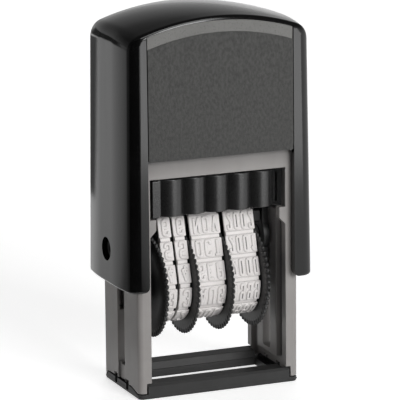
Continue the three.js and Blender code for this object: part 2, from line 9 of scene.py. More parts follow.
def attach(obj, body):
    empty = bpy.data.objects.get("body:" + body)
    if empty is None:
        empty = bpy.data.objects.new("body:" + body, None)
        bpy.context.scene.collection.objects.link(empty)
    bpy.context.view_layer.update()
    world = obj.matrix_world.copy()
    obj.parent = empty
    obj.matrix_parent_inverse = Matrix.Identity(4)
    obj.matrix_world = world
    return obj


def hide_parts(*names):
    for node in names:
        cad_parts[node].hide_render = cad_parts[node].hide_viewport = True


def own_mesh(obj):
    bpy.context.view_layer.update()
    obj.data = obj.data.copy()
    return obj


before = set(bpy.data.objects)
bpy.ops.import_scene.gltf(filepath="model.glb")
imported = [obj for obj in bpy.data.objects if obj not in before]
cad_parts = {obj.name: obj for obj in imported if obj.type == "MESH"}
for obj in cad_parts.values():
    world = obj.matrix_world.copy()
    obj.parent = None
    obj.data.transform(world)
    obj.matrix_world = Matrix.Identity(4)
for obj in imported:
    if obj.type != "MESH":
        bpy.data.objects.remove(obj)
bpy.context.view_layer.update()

# The looks of a self-inking date stamp. Pieces are built in millimetres in the frame of the
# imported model, +Z up and the front at -Y, and scaled to metres when they are finished.

MILLIMETRE = 0.001
FULL_TURN = 2 * math.pi
ALONG_X, ALONG_Y, ALONG_Z = Vector((1, 0, 0)), Vector((0, 1, 0)), Vector((0, 0, 1))
MIDDLE = Vector((0, 0, 0))
# Points within the first distance are one point, and within the second nearly so
SAME_PLACE, NEARLY_SAME = 1e-4, 1e-3

# Sizes shared by pieces
CAP_BOTTOM, CAP_TOP = 23.0, 79.4
CAP_HALF_DEPTH = 12.2
WINDOW_HALF, WINDOW_TOP = 16.1, 49.95
FRAME_HALF, FRAME_HALF_DEPTH, FRAME_TOP = 17.8, 9.9, 49.8
AXLE_Z, DIAL_Z = 30.2, 21.6
# The base ring clips to the stand at these depths
CATCHES = (-2.95, 3.3)

# Each dial's limits across, the side its rim is on and how far its band is turned on
DIALS = {
    "day_tens": {"band": (-11.1, -8.32), "rim": (-12.05, -11.25), "side": -1, "lag": 0.25},
    "day_units": {"band": (-7.88, -5.1), "rim": (-4.95, -4.35), "side": 1, "lag": 0.25},
    "month": {"band": (-4.2, 2.6), "rim": (2.75, 3.35), "side": 1, "lag": 0.42},
    "year": {"band": (3.5, 10.3), "rim": (10.45, 11.25), "side": 1, "lag": 0.3},
}
DIGITS = ["7", "6", "5", "4", "3", "2", "1", "0", "-", "", "9", "8"]
MONTHS = ["DEC", "NOV", "OCT", "SEP", "AUG", "JUL", "JUN", "MAY", "APR", "MAR", "FEB", "JAN"]
YEARS = [str(2003 - step) for step in range(12)]
WORDS = {"day_tens": DIGITS, "day_units": DIGITS, "month": MONTHS, "year": YEARS}


# Drawing and cutting

# Of each plane: the place of a drawn point, the axis of its turns and the way across it
PLANES = {
    "xz": (lambda a, b: Vector((a, 0, b)), -ALONG_Y, ALONG_Y),
    "yz": (lambda a, b: Vector((0, a, b)), ALONG_X, ALONG_X),
    "xy": (lambda a, b: Vector((a, b, 0)), ALONG_Z, ALONG_Z),
}


def everything(shape):
    return list(shape.verts) + list(shape.edges) + list(shape.faces)


def only(kind, geometry):
    return [item for item in geometry if isinstance(item, kind)]


def carry(shape, way):
    bmesh.ops.translate(shape, verts=shape.verts, vec=way)


def scale(shape, shares):
    bmesh.ops.scale(shape, verts=shape.verts, vec=shares)


def rotate(shape, angle, axis):
    bmesh.ops.rotate(shape, verts=shape.verts, matrix=Matrix.Rotation(angle, 3, axis))


def face_outward(shape):
    bmesh.ops.recalc_face_normals(shape, faces=shape.faces)


def weld(shape, distance=SAME_PLACE):
    bmesh.ops.remove_doubles(shape, verts=shape.verts, dist=distance)


def next_point(shape, last, place):
    """Draws an edge from the last point to a new one."""
    point = bmesh.ops.extrude_vert_indiv(shape, verts=[last])["verts"][0]
    point.co = place
    return point


def span(side, near, far):
    """The limits between two distances from the middle, to one side of it."""
    return sorted((side * near, side * far))


def divide(shape, place, across, **options):
    """Divides a shape's faces along a plane."""
    return bmesh.ops.bisect_plane(shape, geom=everything(shape), plane_co=place,
                                  plane_no=across, **options)


def draw(shape, plane, start, moves):
    """Draws a closed face: a move of two numbers goes straight to that point, and a move of four
    turns about a centre by a number of degrees, in that many steps."""
    place, axis, _ = PLANES[plane]
    first = last = shape.verts.new(place(*start))
    for move in moves:
        if len(move) == 2:
            last = next_point(shape, last, place(*move))
        else:
            x, y, degrees, steps = move
            turned = bmesh.ops.spin(shape, geom=[last], cent=place(x, y), axis=axis,
                                    angle=math.radians(degrees), steps=steps)
            last = only(BMVert, turned["geom_last"])[0]
    if (last.co - first.co).length > SAME_PLACE:
        shape.edges.new((last, first))
    weld(shape)
    bmesh.ops.contextual_create(shape, geom=shape.edges)


def prism(plane, start, moves, low, high):
    """A drawn face carried across its plane from low to high."""
    shape = bmesh.new()
    draw(shape, plane, start, moves)
    across = PLANES[plane][2]
    carry(shape, across * low)
    raised = bmesh.ops.extrude_face_region(shape, geom=list(shape.faces))
    bmesh.ops.translate(shape, verts=only(BMVert, raised["geom"]), vec=across * (high - low))
    face_outward(shape)
    return shape


def block(xs, ys, zs, edge=0.0, segments=2):
    """A box between limits, with all its edges rounded."""
    shape = bmesh.new()
    bmesh.ops.create_cube(shape, size=1)
    size = [high - low for low, high in (xs, ys, zs)]
    middle = [(high + low) / 2 for low, high in (xs, ys, zs)]
    scale(shape, size)
    carry(shape, middle)
    if edge:
        round_edges(shape, shape.edges, edge, segments)
    return shape


def rod(axis, radius, low, high, centre=MIDDLE, steps=48, edge=0.0):
    """A cylinder along x or z, through a centre."""
    shape = bmesh.new()
    bmesh.ops.create_cone(shape, cap_ends=True, segments=steps, radius1=radius, radius2=radius,
                          depth=high - low)
    carry(shape, (0, 0, (low + high) / 2))
    if axis == "x":
        rotate(shape, math.pi / 2, "Y")
    if edge:
        round_edges(shape, sharp_edges(shape, 60), edge, 2)
    carry(shape, centre)
    return shape


def lathe(profile, steps, z):
    """A closed profile of points (radius, x), turned about the x axis at a height."""
    shape = bmesh.new()
    first = last = shape.verts.new((profile[0][1], 0, profile[0][0]))
    for radius, x in profile[1:]:
        last = next_point(shape, last, (x, 0, radius))
    if profile[0][0] > 0:
        shape.edges.new((last, first))
    bmesh.ops.spin(shape, geom=everything(shape), cent=MIDDLE, axis=ALONG_X, angle=FULL_TURN,
                   steps=steps, use_merge=True)
    weld(shape)
    face_outward(shape)
    carry(shape, (0, 0, z))
    return shape


def round_edges(shape, edges, width, segments=2, clamp=True):
    bmesh.ops.bevel(shape, geom=list(edges), offset=width, offset_type="OFFSET",
                    segments=segments, profile=0.5, affect="EDGES", clamp_overlap=clamp,
                    material=-1)


def sharp_edges(shape, degrees=50, shortest=0.0):
    return [e for e in shape.edges
            if len(e.link_faces) == 2 and e.calc_face_angle(0) > math.radians(degrees)
            and e.calc_length() > shortest]


def level_edges(shape):
    return [e for e in shape.edges if abs(e.verts[0].co.z - e.verts[1].co.z) < SAME_PLACE]


def edges_along_x(shape):
    return [e for e in shape.edges if abs(e.verts[0].co.x - e.verts[1].co.x) > 1]


def in_scene(name, data):
    made = bpy.data.objects.new(name, data)
    bpy.context.scene.collection.objects.link(made)
    return made


def as_object(shape, name):
    mesh = bpy.data.meshes.new(name)
    shape.to_mesh(mesh)
    shape.free()
    return in_scene(name, mesh)


def combine(base, tools, operation):
    """Joins shapes to a base shape or cuts them from it, one closed surface in the end."""
    target = as_object(base, "target")
    helpers = []
    for place, tool in enumerate(tools):
        helper = as_object(tool, f"tool_{place}")
        cut = target.modifiers.new(f"cut_{place}", "BOOLEAN")
        cut.operation, cut.object, cut.solver = operation, helper, "EXACT"
        helpers.append(helper)
    bpy.context.view_layer.update()
    depsgraph = bpy.context.evaluated_depsgraph_get()
    made = bmesh.new()
    made.from_object(target, depsgraph)
    for old in [target, *helpers]:
        bpy.data.objects.remove(old)
    weld(made)
    bmesh.ops.dissolve_degenerate(made, edges=made.edges, dist=SAME_PLACE / 10)
    bmesh.ops.delete(made, geom=[e for e in made.edges if not e.link_faces], context="EDGES")
    return made


def joined(base, *tools):
    made = combine(base, tools, "UNION")
    bmesh.ops.dissolve_limit(made, angle_limit=math.radians(0.2), verts=made.verts,
                             edges=made.edges)
    return made


def cut(base, *tools):
    return combine(base, tools, "DIFFERENCE")


def finished(shape, name, material, body, replaces=(), smooth=35.0, weighted=True):
    """Turns a shape into a finished piece that rides on a body."""
    scale(shape, (MILLIMETRE,) * 3)
    piece = as_object(shape, name)
    piece.data.shade_smooth()
    piece.data.set_sharp_from_angle(angle=math.radians(smooth))
    if weighted:
        flat = piece.modifiers.new("flat_faces", "WEIGHTED_NORMAL")
        flat.mode, flat.weight, flat.keep_sharp = "FACE_AREA", 90, True
    piece.data.materials.append(material)
    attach(piece, body)
    if replaces:
        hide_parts(*replaces)
    return piece


# Materials

def grey(level, tint=(1, 1, 1)):
    return tuple(level * t for t in tint) + (1.0,)


class Finish:
    """A surface finish with helpers that add the nodes of its pattern, in object space."""

    def __init__(self, name, roughness, **sockets):
        self.material = bpy.data.materials.new(name)
        self.material.use_nodes = True
        self.nodes = self.material.node_tree.nodes
        self.links = self.material.node_tree.links
        self.shader = self.nodes["Principled BSDF"]
        self.shader.inputs["Roughness"].default_value = roughness
        for socket, value in sockets.items():
            self.shader.inputs[socket.replace("_", " ")].default_value = value
        self.place = self.nodes.new("ShaderNodeTexCoord").outputs["Object"]

    def noise(self, size_mm, detail=3.0, rough=0.55, stretch=(1, 1, 1)):
        mapping = self.nodes.new("ShaderNodeMapping")
        mapping.inputs["Scale"].default_value = stretch
        self.links.new(self.place, mapping.inputs["Vector"])
        noise = self.nodes.new("ShaderNodeTexNoise")
        noise.inputs["Scale"].default_value = 1 / (size_mm * MILLIMETRE)
        noise.inputs["Detail"].default_value = detail
        noise.inputs["Roughness"].default_value = rough
        self.links.new(mapping.outputs["Vector"], noise.inputs["Vector"])
        return noise.outputs["Fac"]

    def spread(self, value, low, high, start=0.3, end=0.7):
        """Maps a pattern from start..end to low..high."""
        ranged = self.nodes.new("ShaderNodeMapRange")
        for socket, number in (("From Min", start), ("From Max", end), ("To Min", low),
                               ("To Max", high)):
            ranged.inputs[socket].default_value = number
        self.links.new(value, ranged.inputs["Value"])
        return ranged.outputs["Result"]

    def mixed(self, share, first, second):
        """A colour between two colours, by a share."""
        mix = self.nodes.new("ShaderNodeMix")
        mix.data_type = "RGBA"
        for socket, colour in ((mix.inputs[6], first), (mix.inputs[7], second)):
            if isinstance(colour, tuple):
                socket.default_value = colour
            else:
                self.links.new(colour, socket)
        self.links.new(share, mix.inputs[0])
        return mix.outputs[2]

    def drifting(self, pattern, first, second):
        """A colour that drifts between two colours with a pattern."""
        return self.mixed(self.spread(pattern, 0, 1), first, second)

    def times(self, first, second):
        product = self.nodes.new("ShaderNodeMath")
        product.operation = "MULTIPLY"
        self.links.new(first, product.inputs[0])
        self.links.new(second, product.inputs[1])
        return product.outputs["Value"]

    def edge_wear(self, radius_mm, start=0.02, end=0.25):
        """One along rounded edges and zero on flat faces."""
        soft = self.nodes.new("ShaderNodeBevel")
        soft.samples = 4
        soft.inputs["Radius"].default_value = radius_mm * MILLIMETRE
        true = self.nodes.new("ShaderNodeNewGeometry")
        dot = self.nodes.new("ShaderNodeVectorMath")
        dot.operation = "DOT_PRODUCT"
        self.links.new(soft.outputs["Normal"], dot.inputs[0])
        self.links.new(true.outputs["True Normal"], dot.inputs[1])
        return self.spread(dot.outputs["Value"], 1.0, 0.0, 1 - end, 1 - start)

    def height(self):
        """Height above the table, in metres."""
        axes = self.nodes.new("ShaderNodeSeparateXYZ")
        self.links.new(self.place, axes.inputs["Vector"])
        return axes.outputs["Z"]

    def painted_corner_shade(self, reach_mm, start=0.5, end=0.95):
        """Painted shade from ambient occlusion: one in corners and grooves and zero on open faces.
        """
        hidden = self.nodes.new("ShaderNodeAmbientOcclusion")
        hidden.samples = 6
        hidden.only_local = True
        hidden.inputs["Distance"].default_value = reach_mm * MILLIMETRE
        return self.spread(hidden.outputs["AO"], 1.0, 0.0, start, end)

    def colour(self, value):
        self.links.new(value, self.shader.inputs["Base Color"])

    def rough(self, value):
        self.links.new(value, self.shader.inputs["Roughness"])

    def bumps(self, *layers):
        """Relief of (pattern, depth in millimetres), one layer over another."""
        normal = None
        for value, depth in layers:
            bump = self.nodes.new("ShaderNodeBump")
            bump.inputs["Strength"].default_value = 1.0
            bump.inputs["Distance"].default_value = depth * MILLIMETRE
            self.links.new(value, bump.inputs["Height"])
            if normal is not None:
                self.links.new(normal, bump.inputs["Normal"])
            normal = bump.outputs["Normal"]
        self.links.new(normal, self.shader.inputs["Normal"])


def polished_black():
    finish = Finish("gloss_black", 0.1, IOR=1.46)
    cloud = finish.noise(9.0, 2.0)
    specks = finish.noise(0.35, 4.0)
    scuffs = finish.noise(1.6, 5.0, 0.7, (1, 1, 0.12))
    base = finish.drifting(cloud, grey(0.003), grey(0.0045, (1, 1, 1.03)))
    worn = finish.times(finish.edge_wear(0.5), finish.spread(specks, 0, 0.5, 0.45, 0.7))
    finish.colour(finish.mixed(worn, base, grey(0.03)))
    finish.rough(finish.spread(scuffs, 0.09, 0.16, 0.35, 0.8))
    finish.bumps((cloud, 0.006), (specks, 0.0004))
    return finish.material


def grained_label():
    finish = Finish("label_grey", 0.6, IOR=1.42)
    grain = finish.noise(0.22, 2.0, 0.6)
    speckle = finish.noise(0.5, 2.0, 0.6, (1, 1, 0.6))
    cloud = finish.noise(4.0, 3.0)
    warm = (1, 1, 0.95)
    base = finish.drifting(cloud, grey(0.02, (1, 1, 0.96)), grey(0.026, warm))
    base = finish.mixed(finish.spread(speckle, 0, 0.8, 0.35, 0.65), base, grey(0.06, warm))
    finish.colour(finish.mixed(finish.spread(grain, 0, 0.4), base, grey(0.07, warm)))
    finish.rough(finish.spread(grain, 0.5, 0.7))
    finish.bumps((cloud, 0.01), (speckle, 0.03), (grain, 0.04))
    return finish.material


def smooth_label():
    finish = Finish("label_smooth", 0.3, IOR=1.5)
    cloud = finish.noise(6.0, 3.0)
    specks = finish.noise(0.3, 3.0)
    warm = (1, 0.99, 0.93)
    finish.colour(finish.drifting(cloud, grey(0.105, warm), grey(0.125, warm)))
    finish.rough(finish.spread(specks, 0.25, 0.36))
    finish.bumps((cloud, 0.004), (specks, 0.0008))
    return finish.material


# Heights in metres over which the stand darkens towards the top of the cap's window: painted
# shade, as if cast by the cap over the ledge
CAP_SHADE_HEIGHTS = (0.0462, 0.0504)


def satin_grey():
    finish = Finish("frame_grey", 0.45, IOR=1.47)
    cloud = finish.noise(7.0, 3.0)
    grain = finish.noise(0.14, 2.0)
    flow = finish.noise(2.2, 4.0, 0.6, (1, 1, 0.15))
    base = finish.drifting(cloud, grey(0.29, (1, 0.94, 0.91)), grey(0.33, (1, 0.96, 0.93)))
    base = finish.mixed(finish.spread(flow, 0, 0.25), base, grey(0.24, (1, 0.97, 0.95)))
    worn = finish.times(finish.edge_wear(0.35), finish.spread(grain, 0, 0.6, 0.4, 0.65))
    base = finish.mixed(worn, base, grey(0.42, (1, 0.97, 0.94)))
    # Painted shade: the stand darkens towards the top of the ledge, under the cap's window edge
    cap_shade = finish.spread(finish.height(), 0, 0.75, *CAP_SHADE_HEIGHTS)
    base = finish.mixed(cap_shade, base, grey(0.08, (1, 0.98, 0.95)))
    # Painted shade: darker grey in corners, grooves and pockets such as the slot's relief
    finish.colour(finish.mixed(finish.painted_corner_shade(0.8), base, grey(0.12)))
    finish.rough(finish.spread(grain, 0.38, 0.52))
    finish.bumps((cloud, 0.008), (grain, 0.004))
    return finish.material


def satin_black(name, level, roughness, worn_level, patchy=0.0, ior=1.48):
    finish = Finish(name, roughness, IOR=ior)
    cloud = finish.noise(5.0, 3.0)
    grain = finish.noise(0.12, 2.0)
    mottle = finish.noise(0.5, 3.0)
    base = finish.drifting(cloud, grey(level), grey(level * 1.35))
    base = finish.mixed(finish.spread(mottle, 0, patchy, 0.35, 0.65), base, grey(level * 3))
    worn = finish.times(finish.edge_wear(0.3), finish.spread(grain, 0, 0.7, 0.4, 0.65))
    finish.colour(finish.mixed(worn, base, grey(worn_level)))
    finish.rough(finish.spread(grain, roughness - 0.07, roughness + 0.07))
    finish.bumps((cloud, 0.006), (grain, 0.004))
    return finish.material


def pale_rubber():
    finish = Finish("band_rubber", 0.55, IOR=1.45)
    cloud = finish.noise(3.0, 4.0)
    grain = finish.noise(0.18, 3.0)
    base = finish.drifting(cloud, grey(0.88, (1, 0.965, 0.95)), grey(0.82, (1, 0.955, 0.935)))
    base = finish.mixed(finish.spread(grain, 0, 0.15, 0.5, 0.8), base, grey(0.7, (1, 0.95, 0.92)))
    # Painted shade: the rubber darkens in corners at the characters' feet and between the pads, in
    # place of the shading of their sides
    band_shade = finish.spread(finish.painted_corner_shade(0.35, 0.38, 0.88), 0, 0.9, 0, 1)
    finish.colour(finish.mixed(band_shade, base, grey(0.13, (1, 0.95, 0.93))))
    finish.rough(finish.spread(grain, 0.45, 0.65))
    finish.bumps((cloud, 0.02), (grain, 0.006))
    return finish.material


def inked_felt():
    finish = Finish("inked_felt", 0.9, Sheen_Weight=0.3)
    fibres = finish.noise(0.25, 5.0, 0.7)
    cloud = finish.noise(2.5, 3.0)
    finish.colour(finish.drifting(cloud, (0.012, 0.012, 0.03, 1), (0.03, 0.03, 0.055, 1)))
    finish.rough(finish.spread(fibres, 0.75, 0.98))
    finish.bumps((fibres, 0.12))
    return finish.material


def bright_steel():
    finish = Finish("spring_steel", 0.25, Metallic=1.0)
    drawn = finish.noise(0.2, 4.0, 0.6, (1, 1, 6))
    cloud = finish.noise(2.0, 3.0)
    finish.colour(finish.drifting(cloud, grey(0.62), grey(0.5, (1, 0.98, 0.95))))
    finish.rough(finish.spread(drawn, 0.18, 0.38))
    finish.bumps((drawn, 0.003))
    return finish.material


GLOSS = polished_black()
LABEL = grained_label()
LABEL_SMOOTH = smooth_label()
FRAME_GREY = satin_grey()
RING_BLACK = satin_black("satin_black", 0.025, 0.5, 0.1, ior=1.35)
TRAY_BLACK = satin_black("tray_black", 0.01, 0.3, 0.05, ior=1.57)
PIN_GREY = satin_black("pin_grey", 0.006, 0.4, 0.03)
CARRIAGE_BLACK = satin_black("carriage_black", 0.005, 0.45, 0.02)
WHEEL_BLACK = satin_black("wheel_black", 0.011, 0.5, 0.1, 0.5)
RUBBER = pale_rubber()
FELT = inked_felt()
STEEL = bright_steel()


# Cap

CAP_FOOT, CAP_SHOULDER_HALF, CAP_FLARE_SHARE = 20.9, 20.25, 0.0142
CAP_DEPTH_DRAFT, SIDE_CROWN, SIDE_CROWN_START, TOP_CROWN, TOP_FOOT = 0.5, 0.8, 3, 111.0, 60
ARCH_RADIUS, SHOULDER_RADIUS = 56.0, 3.7
ARCH_CENTRE = CAP_TOP - ARCH_RADIUS
RIM_ROUNDING, RIM_NARROWING, RIM_STEEPNESS = 2.3, 0.6, 1.1
FOOT_ROUNDING, FOOT_SPARE = 0.7, 4
CAP_WALL, CAVITY_HALF_DEPTH, THROUGH_DEPTH, THROUGH_SIDES = 1.7, 10.25, 20, 30
WINDOW_CORNER, WINDOW_TOE, WINDOW_CUT_FOOT = 1.2, 1.4, 15
RECESS_FOOT, RECESS_RADIUS, RECESS_CREST, RECESS_CORNER = WINDOW_TOP - 4, 52.0, 78.0, 0.01
RECESS_DEPTHS = (11.45, 14)
AXLE_HOLE, SEAT_RADIUS, SEAT_FOOT, POST_RADIUS, POST_FOOT, ROOF = 2.45, 6.5, 76.7, 2.8, 70.1, 78
SHOULDER_X = CAP_SHOULDER_HALF - SHOULDER_RADIUS
SHOULDER_Z = ARCH_CENTRE + math.sqrt((ARCH_RADIUS - SHOULDER_RADIUS) ** 2 - SHOULDER_X ** 2)
SHOULDER_TURN = math.degrees(math.atan2(SHOULDER_Z - ARCH_CENTRE, SHOULDER_X))


def cap_outline(inset, bottom):
    """Start and moves of the cap's front view, moved in by a wall."""
    foot = CAP_FOOT - inset + (CAP_BOTTOM - bottom) * CAP_FLARE_SHARE
    corner = SHOULDER_RADIUS - inset
    moves = [
        (SHOULDER_X + corner, SHOULDER_Z),
        (SHOULDER_X, SHOULDER_Z, SHOULDER_TURN, 8),
        (0, ARCH_CENTRE, 180 - 2 * SHOULDER_TURN, 48),
        (-SHOULDER_X, SHOULDER_Z, SHOULDER_TURN, 8),
        (-foot, bottom),
    ]
    return (foot, bottom), moves


def depth_share(z):
    """The cap's depth at a height, as a share of its depth at the foot."""
    return 1 - CAP_DEPTH_DRAFT / CAP_HALF_DEPTH * (z - CAP_BOTTOM) / (CAP_TOP - CAP_BOTTOM)


def drafted(shape):
    """Narrows the depth with height, as the moulded cap does."""
    for vert in shape.verts:
        vert.co.y *= depth_share(vert.co.z)
    return shape


def arch_plate(half, bottom, radius, crest, corner, low, high):
    """A plate with straight sides and an arched top, between two depths."""
    side_z = crest - radius + math.sqrt(radius ** 2 - half ** 2)
    sweep = 2 * math.degrees(math.asin(half / radius))
    moves = [
        (half, side_z),
        (0, crest - radius, sweep, 32),
        (-half, bottom + corner),
        (-half + corner, bottom + corner, 90, 4),
        (half - corner, bottom),
        (half - corner, bottom + corner, 90, 4),
    ]
    return prism("xz", (half, bottom + corner), moves, low, high)


def window_cutter():
    inner, high = WINDOW_HALF - WINDOW_CORNER, WINDOW_TOP - WINDOW_CORNER
    outer, low = WINDOW_HALF + WINDOW_TOE, CAP_BOTTOM + WINDOW_TOE
    moves = [
        (WINDOW_HALF, high),
        (inner, high, 90, 6),
        (-inner, WINDOW_TOP),
        (-inner, high, 90, 6),
        (-WINDOW_HALF, low),
        (-outer, low, -90, 5),
        (-outer, WINDOW_CUT_FOOT),
        (outer, WINDOW_CUT_FOOT),
        (outer, CAP_BOTTOM),
        (outer, low, -90, 5),
    ]
    return prism("xz", (WINDOW_HALF, low), moves, -THROUGH_DEPTH, THROUGH_DEPTH)


def soft_rims(shape):
    """Rounds the front and back rims, wide down the sides and narrow over the arch."""
    weight = shape.edges.layers.float.new("bevel_weight_edge")
    rims = [e for e in shape.edges
            if abs(abs(e.verts[0].co.y) - CAP_HALF_DEPTH) < NEARLY_SAME
            and abs(e.verts[0].co.y - e.verts[1].co.y) < NEARLY_SAME
            and max(v.co.z for v in e.verts) > CAP_BOTTOM]
    for edge in rims:
        first, second = edge.verts
        rise = abs(first.co.x - second.co.x) / (first.co - second.co).length
        edge[weight] = 1 - RIM_NARROWING * min(1.0, rise * RIM_STEEPNESS)
    rough = as_object(shape, "rough")
    bevel = rough.modifiers.new("rims", "BEVEL")
    bevel.limit_method, bevel.affect, bevel.use_clamp_overlap = "WEIGHT", "EDGES", False
    bevel.width, bevel.segments, bevel.profile = RIM_ROUNDING, 8, 0.5
    bpy.context.view_layer.update()
    made = bmesh.new()
    made.from_object(rough, bpy.context.evaluated_depsgraph_get())
    bpy.data.objects.remove(rough)
    return made


def crowned(outer):
    """Draws the sides in towards the rims, and the top down."""
    for place in range(-9, 10):
        divide(outer, (0, place, 0), ALONG_Y)
    for vert in outer.verts:
        out = max(0.0, abs(vert.co.y) - SIDE_CROWN_START) / (CAP_HALF_DEPTH - SIDE_CROWN_START)
        vert.co.x *= 1 - SIDE_CROWN / CAP_FOOT * out ** 2
        if vert.co.z > TOP_FOOT:
            vert.co.z -= vert.co.y ** 2 / (2 * TOP_CROWN)
    return outer


def trim_foot(outer):
    """Cuts the cap level at its foot and rounds the edge."""
    cutoff = divide(outer, (0, 0, CAP_BOTTOM), ALONG_Z, clear_inner=True)
    bmesh.ops.contextual_create(outer, geom=only(BMEdge, cutoff["geom_cut"]))
    face_outward(outer)
    foot = [e for e in outer.edges
            if all(abs(v.co.z - CAP_BOTTOM) < SAME_PLACE for v in e.verts)]
    round_edges(outer, foot, FOOT_ROUNDING, 4)


def build_cap():
    start, moves = cap_outline(0, CAP_BOTTOM - FOOT_SPARE)
    outer = prism("xz", start, moves, -CAP_HALF_DEPTH, CAP_HALF_DEPTH)
    outer = drafted(crowned(soft_rims(outer)))
    trim_foot(outer)
    start, moves = cap_outline(CAP_WALL, CAP_BOTTOM - FOOT_SPARE)
    cavity = prism("xz", start, moves, -CAVITY_HALF_DEPTH, CAVITY_HALF_DEPTH)
    recesses = [drafted(arch_plate(WINDOW_HALF, RECESS_FOOT, RECESS_RADIUS, RECESS_CREST,
                                   RECESS_CORNER, *span(side, *RECESS_DEPTHS)))
                for side in (-1, 1)]
    holes = rod("x", AXLE_HOLE, -THROUGH_SIDES, THROUGH_SIDES, (0, 0, AXLE_Z))
    shell = cut(outer, cavity, window_cutter(), *recesses, holes)
    post = rod("z", POST_RADIUS, POST_FOOT, ROOF, steps=32)
    seat = rod("z", SEAT_RADIUS, SEAT_FOOT, ROOF)
    shell = joined(shell, seat, post)
    finished(shell, "cap", GLOSS, "cap", ["cap_shell"])


STRIP_HALF, STRIP_DEPTHS, STRIP_CORNER = WINDOW_HALF - 0.22, (11.75, 12.2), 0.3
STRIP_FOOT, STRIP_RADIUS, STRIP_CREST, STRIP_SINK, STRIP_FROM = 50.0, 51.85, 77.9, 0.12, 70
PLATE_HALF, PLATE_DEPTHS, PLATE_CORNER = WINDOW_HALF - 0.2, (11.9, 12.28), 0.1
PLATE_FOOT, PLATE_RADIUS, PLATE_CREST = 50.9, 50.0, 75.5


def build_label(word, side):
    """The grained plate on the cap's front or back, with a smooth strip above its arch."""
    strip = arch_plate(STRIP_HALF, STRIP_FOOT, STRIP_RADIUS, STRIP_CREST, STRIP_CORNER,
                       *span(side, *STRIP_DEPTHS))
    for vert in strip.verts:
        if abs(vert.co.y) > sum(STRIP_DEPTHS) / 2 and vert.co.z > TOP_FOOT:
            vert.co.y -= side * STRIP_SINK
    plate = arch_plate(PLATE_HALF, PLATE_FOOT, PLATE_RADIUS, PLATE_CREST, PLATE_CORNER,
                       *span(side, *PLATE_DEPTHS))
    shape = joined(strip, plate)
    divide(shape, (0, 0, STRIP_FROM), ALONG_Z)
    piece = finished(drafted(shape), f"{word}_label", LABEL, "cap",
                     [f"{word}_label_panel"])
    piece.data.materials.append(LABEL_SMOOTH)
    for face in piece.data.polygons:
        at = [piece.data.vertices[index].co / MILLIMETRE for index in face.vertices]
        depth = max(abs(co.y) / depth_share(co.z) for co in at)
        if face.center.z > STRIP_FROM * MILLIMETRE and depth < CAP_HALF_DEPTH:
            face.material_index = 1


build_cap()
build_label("front", -1)
build_label("rear", 1)


# Lower frame

COLUMN_INNER, COLUMN_DEPTH, NOOK = 15.0, 1.9, 0.35
WALL_FOOT, WALL, WALL_CORNER, THROUGH_FRAME = 1.3, 1.5, 1.1, 19
SLOT_HALF, SLOT_FOOT, SLOT_CORNER = 1.95, 5.4, 0.6
RAIL_OUTER, RAIL_HALF_DEPTH, RAIL_HEIGHTS = 16.9, 4.95, (4.4, 36.2)
SHOULDER_DEPTHS, BAR_DEPTHS = (8.0, 9.9), (8.3, FRAME_HALF_DEPTH)
DECK_HEIGHTS, DECK_SETBACK, REAR_WALL_FOOT = (45.9, 47.1), 0.5, 36.9
CUP_RADIUS, CUP_BORE, CUP_HEIGHTS = 6.5, 5.4, (46.5, 48.6)
SILL_HALF, SILL_DEPTHS, SILL_TOP = 16.1, (8.5, 11), 3.4
RELIEF_SPAN, RELIEF_DEPTHS, RELIEF_HEIGHTS = (15.7, 17.3), (1.5, 4.6), (16.4, 36.4)
GATE_INNER, GATE_HEIGHTS = 17.3, (1, 5.6)
NOTCH_INNER, NOTCH_DEPTHS, NOTCH_HEIGHTS = 16.2, (-0.7, 1.2), (5.0, 6.9)
CATCH_HALF, CATCH_TOP = 0.95, 2.75
RAIL_EDGE, BAR_EDGE, CUP_EDGE, STAND_EDGE = 0.3, 0.12, 0.2, 0.12


def side_prism(start, moves, low, high, plane="xy"):
    """A drawn prism on the right, and its mirror image on the left."""
    shape = prism(plane, start, moves, low, high)
    bmesh.ops.mirror(shape, geom=everything(shape), axis="X", merge_dist=SAME_PLACE / 10)
    face_outward(shape)
    return shape


def side_wall():
    """Outer skin with a front and a rear column, seen from above."""
    x, y = FRAME_HALF, FRAME_HALF_DEPTH
    skin, post = x - WALL, y - COLUMN_DEPTH
    moves = [
        (x - WALL_CORNER, -y),
        (x - WALL_CORNER, WALL_CORNER - y, 90, 8),
        (x, y - WALL_CORNER),
        (x - WALL_CORNER, y - WALL_CORNER, 90, 8),
        (COLUMN_INNER, y),
        (COLUMN_INNER, post),
        (skin - NOOK, post),
        (skin - NOOK, post - NOOK, -90, 4),
        (skin, NOOK - post),
        (skin - NOOK, NOOK - post, -90, 4),
        (COLUMN_INNER, -post),
    ]
    return side_prism((COLUMN_INNER, -y), moves, WALL_FOOT, FRAME_TOP)


def shoulder(low, high):
    """A lug on the column that carries the ink pad."""
    tip, root = 13.65, 17.0
    foot, bend, seat = 34.0, 35.4, 37.6
    moves = [(COLUMN_INNER, foot), (tip, bend), (tip, seat), (root, seat)]
    return side_prism((root, foot), moves, low, high, "xz")


def slot_cutter():
    inner, low = SLOT_HALF - SLOT_CORNER, SLOT_FOOT + SLOT_CORNER
    moves = [
        (SLOT_HALF, AXLE_Z),
        (0, AXLE_Z, 180, 24),
        (-SLOT_HALF, low),
        (-inner, low, 90, 4),
        (inner, SLOT_FOOT),
        (inner, low, 90, 4),
    ]
    return prism("yz", (SLOT_HALF, low), moves, -THROUGH_FRAME, THROUGH_FRAME)


def foot_cutter(side):
    """The rising edge of the wall over the base ring's side, front and back."""
    front, back, reach, top = -5.6, 7.6, 8.6, 2.0
    moves = [(-reach, WALL_FOOT), (-reach, 0), (reach, 0), (reach, WALL_FOOT), (back, top)]
    shape = prism("yz", (front, top), moves, 16.0, THROUGH_FRAME)
    if side < 0:
        scale(shape, (-1, 1, 1))
        face_outward(shape)
    return shape


